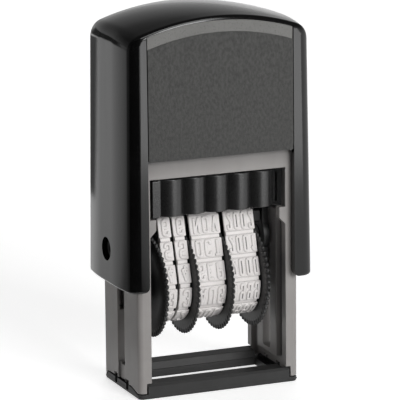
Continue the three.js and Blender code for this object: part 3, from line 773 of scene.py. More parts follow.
def build_frame():
    inner = COLUMN_INNER + 0.5
    across, depth = (-inner, inner), FRAME_HALF_DEPTH - DECK_SETBACK
    rails = [block(span(side, COLUMN_INNER, RAIL_OUTER), (-RAIL_HALF_DEPTH, RAIL_HALF_DEPTH),
                   RAIL_HEIGHTS, RAIL_EDGE) for side in (-1, 1)]
    bar = block(across, span(-1, *BAR_DEPTHS), (DECK_HEIGHTS[0], FRAME_TOP), BAR_EDGE)
    wall = block(across, BAR_DEPTHS, (REAR_WALL_FOOT, FRAME_TOP), BAR_EDGE)
    deck = block(across, (-depth, depth), DECK_HEIGHTS)
    cup = rod("z", CUP_RADIUS, *CUP_HEIGHTS, steps=64, edge=CUP_EDGE)
    lugs = [shoulder(*span(side, *SHOULDER_DEPTHS)) for side in (-1, 1)]
    shape = joined(side_wall(), *rails, bar, wall, deck, cup, *lugs)
    cutters = [slot_cutter(), rod("z", CUP_BORE, DECK_HEIGHTS[1], 50, steps=64)]
    for side in (-1, 1):
        cutters += [
            block((-SILL_HALF, SILL_HALF), span(side, *SILL_DEPTHS), (0, SILL_TOP)),
            foot_cutter(side),
            block(span(side, *RELIEF_SPAN), RELIEF_DEPTHS, RELIEF_HEIGHTS),
            block(span(side, GATE_INNER, THROUGH_FRAME), (-SLOT_HALF, SLOT_HALF), GATE_HEIGHTS),
            block(span(side, NOTCH_INNER, THROUGH_FRAME), NOTCH_DEPTHS, NOTCH_HEIGHTS),
        ]
    for place in CATCHES:
        cutters.append(block((-THROUGH_FRAME, THROUGH_FRAME),
                             (place - CATCH_HALF, place + CATCH_HALF), (0, CATCH_TOP)))
    shape = cut(shape, *cutters)
    round_edges(shape, sharp_edges(shape, shortest=2.0), STAND_EDGE, clamp=False)
    finished(shape, "stand", FRAME_GREY, "frame", ["lower_frame"])


# Base ring

SOLE_TOP, SOLE_ROUNDING = 1.0, 0.35
BAR_TOP, BAR_HALF, BAR_INNER, LIP_HALF, APERTURE_HALF = 3.1, 14.7, 5.05, 15.8, 14.5
FLANGE_SPAN, PEG_SPAN, PEG_HALF, PEG_HEIGHTS = (16.6, 17.78), (16.6, 17.5), 0.65, (0.5, 2.3)
GAP_INNER, GAP_HALF, GAP_HEIGHTS = 17.2, 0.6, (0.55, 3)
LEDGE_HALF_DEPTH, LEDGE_HEIGHTS, LEDGE_EDGE, PEG_EDGE, RING_EDGE = 9.35, (0.2, 1.6), 0.15, 0.1, 0.1


def sole():
    """The ring's flat foot with round corners."""
    x, y, corner = FRAME_HALF, FRAME_HALF_DEPTH, WALL_CORNER
    moves = [
        (x - corner, -y),
        (x - corner, corner - y, 90, 8),
        (x, y - corner),
        (x - corner, y - corner, 90, 8),
        (corner - x, y),
        (corner - x, y - corner, 90, 8),
        (-x, corner - y),
        (corner - x, corner - y, 90, 8),
    ]
    shape = prism("xy", (corner - x, -y), moves, 0, SOLE_TOP)
    foot = [e for e in shape.edges if max(v.co.z for v in e.verts) < SAME_PLACE]
    round_edges(shape, foot, SOLE_ROUNDING, 3)
    return shape


def base_bars(side):
    """The lip and the sloped bar at the front or back, and the flange at one side."""
    y = FRAME_HALF_DEPTH
    lip = [(side * 8.8, BAR_TOP), (side * 9.4, BAR_TOP), (side * y, 2.6), (side * y, 0.5)]
    bar = [(side * 5.9, BAR_TOP), (side * 9.0, BAR_TOP), (side * 9.0, 0.4), (side * 4.9, 0.4)]
    flange = [(-8.5, SOLE_TOP), (-5.6, 1.7), (7.6, 1.7), (8.5, SOLE_TOP), (9.5, 0.5)]
    return [
        prism("yz", (side * 8.8, 0.5), lip, -LIP_HALF, LIP_HALF),
        prism("yz", (side * BAR_INNER, 1.1), bar, -BAR_HALF, BAR_HALF),
        prism("yz", (-9.5, 0.5), flange, *span(side, *FLANGE_SPAN)),
    ]


def build_base():
    ledge = block((-BAR_HALF, BAR_HALF), (-LEDGE_HALF_DEPTH, LEDGE_HALF_DEPTH), LEDGE_HEIGHTS,
                  LEDGE_EDGE)
    tops = [ledge]
    for side in (-1, 1):
        tops += base_bars(side)
    cutters = [block((-APERTURE_HALF, APERTURE_HALF), (-BAR_INNER, BAR_INNER), (-1, 3))]
    for place in CATCHES:
        for side in (-1, 1):
            tops.append(block(span(side, *PEG_SPAN), (place - PEG_HALF, place + PEG_HALF),
                              PEG_HEIGHTS, PEG_EDGE))
            cutters.append(block(span(side, GAP_INNER, THROUGH_FRAME),
                                 (place - GAP_HALF, place + GAP_HALF), GAP_HEIGHTS))
    ring = cut(joined(sole(), *tops), *cutters)
    bmesh.ops.connect_verts_concave(ring, faces=ring.faces)
    round_edges(ring, sharp_edges(ring, shortest=2.0), RING_EDGE, clamp=False)
    finished(ring, "base", RING_BLACK, "frame", ["base_ring"])


# Ink pad

TRAY_HALF, TRAY_BACK, TRAY_HEIGHTS, TRAY_MARGIN = 14.35, 8.0, (37.9, 45.6), 13.0
RIBS, RIB_PITCH, RIB_RADIUS, RIB_TURN, RIB_SHIFT, RIB_ROOT = 5, 4.96, 3.3456, 47.84, 0.15, -8.8
TRAY_EDGE, POCKET_EDGE, RIGHT_ROOT, RIGHT_CORNER = 0.2, 0.4, -8.3, -9.4
POCKET = ((-13.05, 13.05), (-7.4, 7.0), (36, 44.3))
TRAY_GROOVE = ((TRAY_MARGIN, 13.6), (-11, -8), (38.7, 44.9))
FELT_LOW, FELT_HIGH, FELT_EDGE = (-12.75, -7.1, 38.1), (12.75, 6.7, 44.0), 1.1
FELT_CROWN, FELT_WAIST = 0.45, 0.12


def build_tray():
    """The cassette seen from above has five rounded ribs across its front."""
    front = -FRAME_HALF_DEPTH
    left = RIB_SHIFT - RIBS * RIB_PITCH / 2
    moves = [(-TRAY_MARGIN, front), (-TRAY_MARGIN, RIB_ROOT), (left, RIB_ROOT)]
    for rib in range(RIBS):
        middle = RIB_SHIFT + (rib - 2) * RIB_PITCH
        moves.append((middle, front + RIB_RADIUS, 2 * RIB_TURN, 16))
    moves += [(left + RIBS * RIB_PITCH, RIGHT_ROOT), (TRAY_HALF, RIGHT_CORNER),
              (TRAY_HALF, TRAY_BACK), (-TRAY_HALF, TRAY_BACK)]
    case = prism("xy", (-TRAY_HALF, front), moves, *TRAY_HEIGHTS)
    round_edges(case, level_edges(case), TRAY_EDGE, 3, clamp=False)
    case = cut(case, block(*POCKET, POCKET_EDGE), block(*TRAY_GROOVE))
    finished(case, "ink_tray", TRAY_BLACK, "ink_pad", ["ink_pad_tray"])


def build_felt():
    """A soft crowned pad: a rounded block whose middle stands a little proud of its edges."""
    shape = block(*zip(FELT_LOW, FELT_HIGH), FELT_EDGE, 4)
    for axis, count, across in ((0, 24, ALONG_X), (1, 14, ALONG_Y)):
        low, high = FELT_LOW[axis], FELT_HIGH[axis]
        for step in range(1, count):
            divide(shape, across * (low + (high - low) * step / count), across)
    middle = [(low + high) / 2 for low, high in zip(FELT_LOW, FELT_HIGH)]
    half = [(high - low) / 2 for low, high in zip(FELT_LOW, FELT_HIGH)]
    for vert in shape.verts:
        across = abs(vert.co.x - middle[0]) / half[0]
        along = abs(vert.co.y - middle[1]) / half[1]
        crown = (1 - across ** 4) * (1 - along ** 4)
        if vert.co.z < middle[2]:
            vert.co.z += FELT_CROWN * (1 - crown)
        waist = 1 - abs(vert.co.z - middle[2]) / half[2]
        vert.co.x -= math.copysign(FELT_WAIST * waist * across ** 6, vert.co.x)
    piece = finished(shape, "ink_felt", FELT, "ink_pad", ["ink_pad_felt"],
                     smooth=60, weighted=False)


# Return spring

WIRE, COIL_RADIUS, COIL_TURNS, COIL_FOOT, COIL_HEAD = 0.4, 4.1, 7, 47.8, 76.0
COIL_STEPS = COIL_TURNS * 32


def build_spring():
    """A coil that the press squashes to 22.4% of its length, held at 47.4 mm by the deck."""
    shape = bmesh.new()
    bmesh.ops.create_circle(shape, cap_ends=False, segments=12, radius=WIRE)
    rotate(shape, math.pi / 2, "X")
    carry(shape, (COIL_RADIUS, 0, COIL_FOOT))
    rise = (COIL_HEAD - COIL_FOOT) / COIL_STEPS
    bmesh.ops.spin(shape, geom=everything(shape), cent=MIDDLE, axis=ALONG_Z, dvec=(0, 0, rise),
                   angle=COIL_TURNS * FULL_TURN, steps=COIL_STEPS, use_merge=False)
    bmesh.ops.holes_fill(shape, edges=[e for e in shape.edges if e.is_boundary], sides=0)
    face_outward(shape)
    piece = finished(shape, "return_coil", STEEL, "frame", ["return_spring"],
                     smooth=60, weighted=False)
    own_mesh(piece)


# Carriage

CHEEK_SPAN, CHEEK_HALF, CHEEK_TOP, CHEEK_CORNER, CHEEK_EDGE = (12.8, 14.2), 2.9, 36.8, 1.2, 0.1
ARM_FOOT, ARM_REST, THROUGH_CHEEK = 22, (19.5, 30), 20
AXLE_BOSS, AXLE_BORE, SHAFT_BOSS, SHAFT_BORE = 3.9, 1.9, 3.1, 1.8
SHAFT_RADIUS, SHAFT_HALF, SHAFT_EDGE = 1.5, 13.9, 0.25
# The platen's ends are tenons that sit in sockets of the cheeks
TENON, TENON_EDGE, SOCKET = ((-1.4, 1.4), (34.45, 35.55)), 0.15, ((-1.7, 1.7), (34.15, 35.85))
PLATEN_HALF, PLATEN_DEPTH, PLATEN_HEIGHTS, PLATEN_EDGE = 12.5, 2.5, (32.8, 35.9), 0.8
GUIDE_FOOT, GUIDE_HALF, GUIDE_EDGE = 34.3, 0.2, 0.08
WEB_SPANS = ((-11.0, -5.2), (-4.1, 2.5), (3.6, 10.2))
WEB_HALF, WEB_HEIGHTS, WEB_EDGE = 1.2, (28.3, 33.5), 0.2
# Points of radius and place across: the shank, head and dimple of an axle pin, and the spacer
PIN_PROFILE = [
    (0, 12.8), (1.45, 12.8), (1.6, 12.95), (1.6, 18.1), (1.95, 18.1), (2.15, 18.3),
    (2.15, 19.65), (1.9, 19.9), (1.1, 19.9), (0.85, 19.75), (0.6, 19.2), (0, 19.2),
]
SPACER_PROFILE = [(1.8, 11.55), (2.4, 11.55), (2.6, 11.75), (2.6, 12.3), (2.4, 12.5), (1.8, 12.5)]


def build_arm(word, side):
    """A side plate of the carriage, with its axle pin."""
    xs, depth = span(side, *CHEEK_SPAN), (-CHEEK_HALF, CHEEK_HALF)
    arm = block(xs, depth, (ARM_FOOT, CHEEK_TOP))
    round_edges(arm, edges_along_x(arm), CHEEK_CORNER, 5)
    boss = rod("x", AXLE_BOSS, *xs, (0, 0, AXLE_Z), 64)
    foot = rod("x", SHAFT_BOSS, *xs, (0, 0, DIAL_Z), 64)
    cheek = joined(arm, boss, foot, block(xs, depth, ARM_REST))
    cheek = cut(cheek, rod("x", AXLE_BORE, -THROUGH_CHEEK, THROUGH_CHEEK, (0, 0, AXLE_Z)),
                rod("x", SHAFT_BORE, -THROUGH_CHEEK, THROUGH_CHEEK, (0, 0, DIAL_Z)),
                block((-THROUGH_CHEEK, THROUGH_CHEEK), *SOCKET))
    round_edges(cheek, sharp_edges(cheek), CHEEK_EDGE)
    finished(cheek, f"{word}_arm", CARRIAGE_BLACK, "carriage",
             [f"{word}_cheek"])
    pin = lathe([(radius, side * x) for radius, x in PIN_PROFILE], 64, AXLE_Z)
    finished(pin, f"{word}_pin", PIN_GREY, "carriage", [f"{word}_axle_pin"])


def build_shaft():
    shaft = rod("x", SHAFT_RADIUS, -SHAFT_HALF, SHAFT_HALF, (0, 0, DIAL_Z), edge=SHAFT_EDGE)
    finished(shaft, "dial_shaft", STEEL, "carriage", ["wheel_shaft"])
    finished(lathe(SPACER_PROFILE, 64, DIAL_Z), "dial_spacer", CARRIAGE_BLACK, "carriage",
             ["shaft_spacer"])


def build_platen():
    """The bar that the bands run over, with a guide beside each band and webs below."""
    depth = (-PLATEN_DEPTH, PLATEN_DEPTH)
    beam = block((-PLATEN_HALF, PLATEN_HALF), depth, PLATEN_HEIGHTS)
    round_edges(beam, edges_along_x(beam), PLATEN_EDGE, 6)
    tenons = block((-SHAFT_HALF, SHAFT_HALF), *TENON, TENON_EDGE)
    guides = []
    for dial in DIALS.values():
        middle = sum(dial["rim"]) / 2
        guides.append(block((middle - GUIDE_HALF, middle + GUIDE_HALF), depth,
                            (GUIDE_FOOT, CHEEK_TOP), GUIDE_EDGE))
    webs = [block(xs, (-WEB_HALF, WEB_HALF), WEB_HEIGHTS, WEB_EDGE) for xs in WEB_SPANS]
    platen = joined(beam, tenons, *guides, *webs)
    finished(platen, "platen", CARRIAGE_BLACK, "carriage", ["print_platen"])


# Date bands

# The belt turns over the platen's two edges and round the wheel's drum
TURN_HIGH, TURN_OUT, TURN_RADIUS, DRUM_TURN = 35.1, 1.7, 1.1, 6.6
BELT, PAD_FOOT, CROWN, PAD_GAP, PADS = 0.7, 1.0, 1.3, 0.9, 12
PAD_INSET, PAD_LIP, PAD_ROUNDING, BEND_STEP = 0.32, 0.02, 0.16, 0.5
LOOP_RISE = TURN_HIGH - DIAL_Z
LOOP_SPREAD = math.hypot(TURN_OUT, LOOP_RISE)
LEAN = math.atan2(LOOP_RISE, TURN_OUT) - math.acos((DRUM_TURN - TURN_RADIUS) / LOOP_SPREAD)
LEG = math.sqrt(LOOP_SPREAD ** 2 - (DRUM_TURN - TURN_RADIUS) ** 2)
TOP_ARC = (math.pi / 2 - LEAN) * (TURN_RADIUS + BELT / 2)
DRUM_ARC = (math.pi / 2 + LEAN) * (DRUM_TURN + BELT / 2)
LOOP = 2 * (TURN_OUT + TOP_ARC + LEG + DRUM_ARC)
PITCH = LOOP / PADS


def loop_point(along, height):
    """The place (y, z) of a point on the belt, over the platen and round the drum."""
    along %= LOOP
    side = 1
    if along > LOOP / 2:
        side, along = -1, LOOP - along
    if along < TURN_OUT:
        return side * along, TURN_HIGH + TURN_RADIUS + height
    along -= TURN_OUT
    if along < TOP_ARC:
        angle = math.pi / 2 - along / (TURN_RADIUS + BELT / 2)
        reach = TURN_RADIUS + height
        return side * (TURN_OUT + reach * math.cos(angle)), TURN_HIGH + reach * math.sin(angle)
    along -= TOP_ARC
    if along < LEG:
        reach = TURN_RADIUS + height
        y = TURN_OUT + reach * math.cos(LEAN) + along * math.sin(LEAN)
        return side * y, TURN_HIGH + reach * math.sin(LEAN) - along * math.cos(LEAN)
    angle = LEAN - (along - LEG) / (DRUM_TURN + BELT / 2)
    reach = DRUM_TURN + height
    return side * reach * math.cos(angle), DIAL_Z + reach * math.sin(angle)


def pad_unit(left, right):
    """One pitch of a belt with its raised pad, laid flat: x across, y along, z up."""
    half, pad_half = PITCH / 2, (PITCH - PAD_GAP) / 2
    unit = block((left + PAD_INSET, right - PAD_INSET), (-half, half), (0, PAD_FOOT))
    ends = [f for f in unit.faces if abs(f.normal.y) > 0.9]
    bmesh.ops.delete(unit, geom=ends, context="FACES_ONLY")
    for place in (-pad_half, pad_half):
        divide(unit, (0, place, 0), ALONG_Y)
    top = [f for f in unit.faces if f.normal.z > 0.9 and abs(f.calc_center_median().y) < 0.1]
    widened = bmesh.ops.extrude_face_region(unit, geom=top)["geom"]
    bmesh.ops.delete(unit, geom=top, context="FACES_ONLY")
    wide, lid = only(BMVert, widened), only(BMFace, widened)
    middle = (left + right) / 2
    stretch = (right - left) / (right - left - 2 * PAD_INSET)
    for vert in wide:
        vert.co.x = middle + (vert.co.x - middle) * stretch
        vert.co.z += PAD_LIP
    crown = only(BMVert, bmesh.ops.extrude_face_region(unit, geom=lid)["geom"])
    bmesh.ops.delete(unit, geom=lid, context="FACES_ONLY")
    for vert in crown:
        vert.co.z = CROWN
    rim = [e for e in unit.edges if all(v in crown or v in wide for v in e.verts)
           and any(v in crown for v in e.verts)]
    round_edges(unit, rim, PAD_ROUNDING, 3)
    count = round(PITCH / BEND_STEP)
    for step in range(1, count):
        divide(unit, (0, -half + PITCH * step / count, 0), ALONG_Y)
    return unit


# Each character's strokes, by places on a grid two wide and four high
STROKES = {
    "0": "00 04 24 20 00", "1": "03 14 10", "2": "03 04 24 22 00 20",
    "3": "03 04 24 22 20 00 01|12 22", "4": "14 01 21|12 10", "5": "24 04 02 22 20 00 01",
    "6": "23 24 04 00 20 22 02", "7": "04 24 10", "8": "02 04 24 22 02 00 20 22",
    "9": "22 02 04 24 20 00 01", "-": "02 22", "A": "00 14 20|01 21",
    "B": "00 04 24 22 02|22 20 00", "C": "23 24 04 00 20 21", "D": "00 04 24 20 00",
    "E": "24 04 00 20|02 12", "F": "24 04 00|02 12", "G": "23 24 04 00 20 22 12",
    "J": "24 20 00 01", "L": "04 00 20", "M": "00 04 12 24 20", "N": "00 04 20 24",
    "O": "00 04 24 20 00", "P": "00 04 24 22 02", "R": "00 04 24 22 02|12 20",
    "S": "23 24 04 02 22 20 00 01", "T": "04 24|14 10", "U": "04 00 20 24",
    "V": "04 10 24", "Y": "04 12 24|12 10",
}
SQUARE_CORNERS = set("14-7AEFLMNTVY")
STROKE, STROKE_STEP, SQUARE_RADIUS, ROUND_SHARE = 0.3, 0.6, 0.1, 0.45
LETTER_HEIGHT, LETTER_SHARE, LETTER_SHIFT, LETTER_LIFT, SQUASH = 3.65, 0.8, 0.15, 0.02, 0.85
# Widths of words by their number of characters
WORD_WIDTHS = {1: 1.7, 3: 5.7, 4: 6.1}


def rounded_path(points, radius):
    """The points of a stroke with its corners rounded and its long stretches divided."""
    path = [points[0]]
    for before, corner, after in zip(points, points[1:], points[2:]):
        cut_in = (before - corner).normalized() * radius
        cut_out = (after - corner).normalized() * radius
        for share in (0, 0.25, 0.5, 0.75, 1):
            first = (corner + cut_in).lerp(corner, share)
            path.append(first.lerp(corner.lerp(corner + cut_out, share), share))
    path.append(points[-1])
    even = [path[0]]
    for point in path[1:]:
        gap = (point - even[-1]).length
        count = max(1, round(gap / STROKE_STEP))
        last = even[-1].copy()
        if gap > SAME_PLACE:
            even += [last.lerp(point, step / count) for step in range(1, count + 1)]
    return even


def grid_place(mark, left, glyph):
    """The place of a mark on a character's grid, head down."""
    across, along = int(mark[0]) / 2, int(mark[1]) / 4
    return Vector((left + across * glyph,
                   LETTER_HEIGHT / 2 - STROKE - along * (LETTER_HEIGHT - 2 * STROKE), 0))


def flat_word(word):
    """Raised characters laid flat, turned head down as they stand on the belt."""
    width = WORD_WIDTHS[len(word)]
    curve = bpy.data.curves.new(word, "CURVE")
    curve.dimensions, curve.bevel_depth, curve.bevel_resolution = "3D", STROKE, 2
    curve.use_fill_caps = True
    advance = width / (len(word) - 1 + LETTER_SHARE)
    glyph = advance * LETTER_SHARE - 2 * STROKE
    for place, letter in enumerate(word):
        left = -width / 2 + STROKE + place * advance
        for stroke in STROKES[letter].split("|"):
            corners = [grid_place(mark, left, glyph) for mark in stroke.split()]
            radius = SQUARE_RADIUS if letter in SQUARE_CORNERS else glyph * ROUND_SHARE
            path = rounded_path(corners, radius)
            line = curve.splines.new("POLY")
            line.points.add(len(path) - 1)
            for point, at in zip(line.points, path):
                point.co = (*at, 1)
    holder = in_scene(word, curve)
    bpy.context.view_layer.update()
    shape = bmesh.new()
    shape.from_mesh(bpy.data.meshes.new_from_object(holder))
    bpy.data.objects.remove(holder)
    weld(shape)
    scale(shape, (1, 1, SQUASH))
    carry(shape, (0, 0, CROWN + LETTER_LIFT))
    return shape


def placed_copies(target, source, shifts):
    """Adds copies of a shape to another one, each moved from where the shape was drawn."""
    mesh = bpy.data.meshes.new("copy")
    last = MIDDLE
    for shift in shifts:
        carry(source, Vector(shift) - last)
        last = Vector(shift)
        source.to_mesh(mesh)
        target.from_mesh(mesh)
    bpy.data.meshes.remove(mesh)
    source.free()


def build_band(name, left, right, lag):
    belt = bmesh.new()
    unit = pad_unit(left, right)
    placed_copies(belt, unit, [(0, pad * PITCH, 0) for pad in range(PADS)])
    words = bmesh.new()
    middle = (left + right) / 2 + LETTER_SHIFT
    for place, word in enumerate(WORDS[name]):
        if word:
            placed_copies(words, flat_word(word), [(middle, -place * PITCH, 0)])
    for shape in (belt, words):
        for vert in shape.verts:
            vert.co.y, vert.co.z = loop_point(vert.co.y - lag, vert.co.z)
    weld(belt, NEARLY_SAME)
    placed_copies(belt, words, [MIDDLE])
    face_outward(belt)
    finished(belt, f"{name}_belt", RUBBER, "carriage", [f"{name}_band"],
             smooth=40, weighted=False)


# Thumb wheels

RIM, RIM_BEVEL, DRUM, DRUM_BEVEL, BORE = 10.9, 0.22, 6.3, 0.15, 1.75
# Radii of the groove in the rim's faces and of the dish in its outer face, and the shares of
# the rim's thickness and rounding that set their depths
GROOVE_INNER, GROOVE_MIDDLE, GROOVE_OUTER, BEAD_SHARE, GROOVE_SHARE = 9.3, 9.9, 10.3, 0.3, 0.35
DISH_OUTER, DISH_FLOOR, DISH_INNER, BOSS, DISH_SHARE = 7.4, 7.0, 3.4, 3.0, 0.4
# Teeth cut the rim's bevels less deep, and the rim is thinner in the valleys between them
TEETH, TOOTH_FOOT, TOOTH_DEPTH, BEVEL_SHARE, THINNING = 54, 10.1, 0.7, 0.7, 0.5


def build_wheel(name, dial):
    """A drum inside the band and a beaded rim beside it."""
    side = dial["side"]
    inner, outer = dial["rim"] if side > 0 else dial["rim"][::-1]
    start = dial["band"][0] if side > 0 else dial["band"][1]
    thick = abs(outer - inner)
    bead = side * thick * BEAD_SHARE
    groove, dish = bead * GROOVE_SHARE, bead * DISH_SHARE
    profile = [
        (BORE, start), (DRUM - DRUM_BEVEL, start), (DRUM, start + side * DRUM_BEVEL),
        (DRUM, inner), (GROOVE_INNER, inner), (GROOVE_MIDDLE, inner + groove),
        (GROOVE_OUTER, inner), (RIM - RIM_BEVEL, inner), (RIM, inner + bead),
        (RIM, outer - bead), (RIM - RIM_BEVEL, outer), (GROOVE_OUTER, outer),
        (GROOVE_MIDDLE, outer - groove), (GROOVE_INNER, outer), (DISH_OUTER, outer),
        (DISH_FLOOR, outer - dish), (DISH_INNER, outer - dish), (BOSS, outer), (BORE, outer),
    ]
    wheel = lathe(profile, TEETH * 8, 0)
    middle = (inner + outer) / 2
    for vert in wheel.verts:
        reach = math.hypot(vert.co.y, vert.co.z)
        if reach < TOOTH_FOOT:
            continue
        angle = math.atan2(vert.co.y, vert.co.z)
        valley = 1 - abs(math.cos(TEETH * angle / 2))
        depth = TOOTH_DEPTH * valley * (BEVEL_SHARE if reach < RIM - 0.1 else 1)
        vert.co.y *= 1 - depth / reach
        vert.co.z *= 1 - depth / reach
        vert.co.x = middle + (vert.co.x - middle) * (1 - THINNING * valley)
    carry(wheel, (0, 0, DIAL_Z))
    finished(wheel, f"{name}_dial_wheel", WHEEL_BLACK, f"{name}_dial",
             [f"{name}_wheel"], smooth=50, weighted=False)


build_frame()
build_base()
build_tray()
build_felt()
build_spring()
build_arm("left", -1)
build_arm("right", 1)
build_shaft()
build_platen()
for name, dial in DIALS.items():
    build_band(name, *dial["band"], dial["lag"])
    build_wheel(name, dial)


# Floor, light and camera, in metres and degrees

FLOOR_RADIUS, FLOOR_FLARE, FLOOR_RISE, FLOOR_GLOW = 3.0, 1.25, 0.5, 0.66
STAMP_MIDDLE = Vector((0, 0, 0.04))
ROOM_STOPS = ((0.12, 0.55), (0.28, 0.3), (0.45, 0.12), (1.0, 0.06))
CAMERA_AZIMUTH, CAMERA_ELEVATION, CAMERA_ROLL, CAMERA_DISTANCE = -22.7, 12.95, -0.5, 0.668
SENSOR_WIDTH, FOCAL_SHARE = 36.0, 3230 / 400
AIM_RIGHT, AIM_HEIGHT = 0.1 * MILLIMETRE, 38.4 * MILLIMETRE


def direction(azimuth, elevation):
    """The way out from the stamp, azimuth 0 being its front."""
    turn, rise = math.radians(azimuth), math.radians(elevation)
    return Vector((math.sin(turn) * math.cos(rise), -math.cos(turn) * math.cos(rise),
                   math.sin(rise)))


def blank_material(name):
    """A material with its nodes cleared, and its nodes and links."""
    material = bpy.data.materials.new(name)
    material.use_nodes = True
    material.node_tree.nodes.clear()
    return material, material.node_tree.nodes, material.node_tree.links


def set_stops(ramp, stops):
    """Sets the greys of a colour ramp by stops of (position, level)."""
    while len(ramp.elements) < len(stops):
        ramp.elements.new(0.5)
    for element, (position, level) in zip(ramp.elements, stops):
        element.position, element.color = position, grey(level)


def floor_material():
    """Pale, with a glow that is seen directly and in gloss but lights nothing."""
    material, nodes, links = blank_material("pale_floor")
    output = nodes.new("ShaderNodeOutputMaterial")
    diffuse = nodes.new("ShaderNodeBsdfDiffuse")
    diffuse.inputs["Color"].default_value = grey(0.82)
    glow = nodes.new("ShaderNodeEmission")
    path = nodes.new("ShaderNodeLightPath")
    seen = path.outputs["Is Camera Ray"]
    for ray in ("Is Glossy Ray", "Is Transmission Ray"):
        either = nodes.new("ShaderNodeMath")
        either.operation = "MAXIMUM"
        links.new(seen, either.inputs[0])
        links.new(path.outputs[ray], either.inputs[1])
        seen = either.outputs["Value"]
    strength = nodes.new("ShaderNodeMath")
    strength.operation = "MULTIPLY"
    strength.inputs[1].default_value = FLOOR_GLOW
    links.new(seen, strength.inputs[0])
    links.new(strength.outputs["Value"], glow.inputs["Strength"])
    both = nodes.new("ShaderNodeAddShader")
    links.new(diffuse.outputs["BSDF"], both.inputs[0])
    links.new(glow.outputs["Emission"], both.inputs[1])
    links.new(both.outputs["Shader"], output.inputs["Surface"])
    return material


def build_floor():
    shape = bmesh.new()
    bmesh.ops.create_circle(shape, cap_ends=True, segments=96, radius=FLOOR_RADIUS)
    rim = [e for e in shape.edges if e.is_boundary]
    raised = only(BMVert, bmesh.ops.extrude_edge_only(shape, edges=rim)["geom"])
    bmesh.ops.scale(shape, verts=raised, vec=(FLOOR_FLARE, FLOOR_FLARE, 1))
    bmesh.ops.translate(shape, verts=raised, vec=(0, 0, FLOOR_RISE))
    floor = as_object(shape, "floor")
    floor.data.materials.append(floor_material())


def softbox(name, azimuth, elevation, distance, size, power):
    """A square area light that looks at the middle of the stamp."""
    light = bpy.data.lights.new(name, "AREA")
    light.shape, light.size, light.energy = "SQUARE", size, power
    lamp = in_scene(name, light)
    away = direction(azimuth, elevation)
    lamp.location = STAMP_MIDDLE + away * distance
    lamp.rotation_euler = away.to_track_quat("Z", "Y").to_euler()
    return lamp


def card_material(name, start, stops):
    """Black and clear by turns round the stamp, by stops of (angle, darkness)."""
    material, nodes, links = blank_material(name)
    place = nodes.new("ShaderNodeTexCoord")
    turn = nodes.new("ShaderNodeMapping")
    turn.inputs["Rotation"].default_value = (0, 0, -math.pi - math.radians(start))
    links.new(place.outputs["Object"], turn.inputs["Vector"])
    around = nodes.new("ShaderNodeTexGradient")
    around.gradient_type = "RADIAL"
    links.new(turn.outputs["Vector"], around.inputs["Vector"])
    shade = nodes.new("ShaderNodeValToRGB")
    set_stops(shade.color_ramp, [((angle - start) / 360, dark) for angle, dark in stops])
    links.new(around.outputs["Fac"], shade.inputs["Fac"])
    clear = nodes.new("ShaderNodeBsdfTransparent")
    black = nodes.new("ShaderNodeBsdfDiffuse")
    black.inputs["Color"].default_value = grey(0.001)
    mix = nodes.new("ShaderNodeMixShader")
    links.new(shade.outputs["Color"], mix.inputs["Fac"])
    links.new(clear.outputs["BSDF"], mix.inputs[1])
    links.new(black.outputs["BSDF"], mix.inputs[2])
    output = nodes.new("ShaderNodeOutputMaterial")
    links.new(mix.outputs["Shader"], output.inputs["Surface"])
    return material


def dark_card(name, stops, corners):
    """A black card seen in gloss only: a line through corners, swept round the stamp."""
    start, sweep = stops[0][0], stops[-1][0] - stops[0][0]
    shape = bmesh.new()
    tip = shape.verts.new(corners[0])
    for corner in corners[1:]:
        tip = next_point(shape, tip, corner)
    rotate(shape, math.radians(start), "Z")
    bmesh.ops.spin(shape, geom=everything(shape), cent=MIDDLE, axis=ALONG_Z,
                   angle=math.radians(sweep), steps=48, use_merge=False)
    card = as_object(shape, name)
    card.data.materials.append(card_material(name, start, stops))
    card.visible_camera = card.visible_diffuse = card.visible_shadow = False
    card.visible_transmission = card.visible_volume_scatter = False


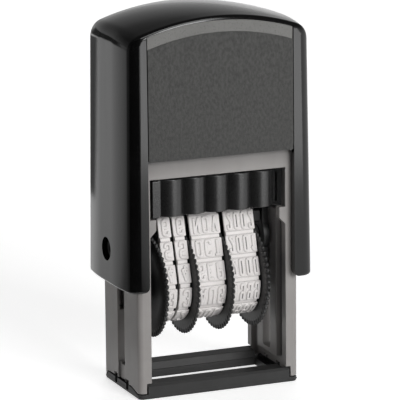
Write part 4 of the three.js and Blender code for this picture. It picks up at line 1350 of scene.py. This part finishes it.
def build_room():
    """A world that is lighter towards the horizon and below it."""
    world = bpy.data.worlds.new("room")
    world.use_nodes = True
    nodes, links = world.node_tree.nodes, world.node_tree.links
    way = nodes.new("ShaderNodeTexCoord")
    height = nodes.new("ShaderNodeSeparateXYZ")
    links.new(way.outputs["Generated"], height.inputs["Vector"])
    fade = nodes.new("ShaderNodeValToRGB")
    set_stops(fade.color_ramp, ROOM_STOPS)
    links.new(height.outputs["Z"], fade.inputs["Fac"])
    links.new(fade.outputs["Color"], nodes["Background"].inputs["Color"])
    bpy.context.scene.world = world


def build_lights():
    softbox("key", 10, 20, 1.5, 0.6, 13.2)
    low = softbox("low_fill", 27, -4, 0.25, 0.14, 0.056)
    low.data.shape, low.data.size_y = "RECTANGLE", 0.045
    low.visible_camera = False
    arch = softbox("arch_line", 8, 45, 1.5, 0.9, 10.0)
    arch.visible_diffuse = False
    back = softbox("back_fill", 160, 45, 1.5, 0.8, 6.0)
    back.visible_glossy = False


def build_camera():
    lens = bpy.data.cameras.new("camera")
    lens.sensor_width = SENSOR_WIDTH
    lens.lens = FOCAL_SHARE * SENSOR_WIDTH
    camera = in_scene("camera", lens)
    away, turn = direction(CAMERA_AZIMUTH, CAMERA_ELEVATION), math.radians(CAMERA_AZIMUTH)
    right = Vector((math.cos(turn), math.sin(turn), 0))
    target = right * AIM_RIGHT + Vector((0, 0, AIM_HEIGHT))
    camera.location = target + away * CAMERA_DISTANCE
    roll = Matrix.Rotation(math.radians(CAMERA_ROLL), 4, "Z")
    aim = away.to_track_quat("Z", "Y").to_matrix().to_4x4()
    camera.rotation_euler = (aim @ roll).to_euler()
    bpy.context.scene.camera = camera
    bpy.context.scene.view_settings.view_transform = "Standard"


build_floor()
dark_card("front_card", ((109, 0), (117, 0.2), (122, 0.3), (131, 0.45), (135, 0.65), (139, 0.8),
                         (180, 0.8), (188, 1), (277, 1), (283, 0)),
          ((0.04, 0, 0.0006), (0.6, 0, 0.0006), (0.6, 0, 0.7)))
dark_card("rear_card", ((60, 0), (72, 0.85), (107, 0.85), (110.5, 0)),
          ((0.19, 0, 0.0004), (0.6, 0, 0.0004)))
dark_card("shoulder_card", ((94, 0), (99, 0.9), (123, 0.9), (128, 0)),
          ((0.62, 0, 0.03), (0.62, 0, 0.16)))
build_room()
build_lights()
build_camera()
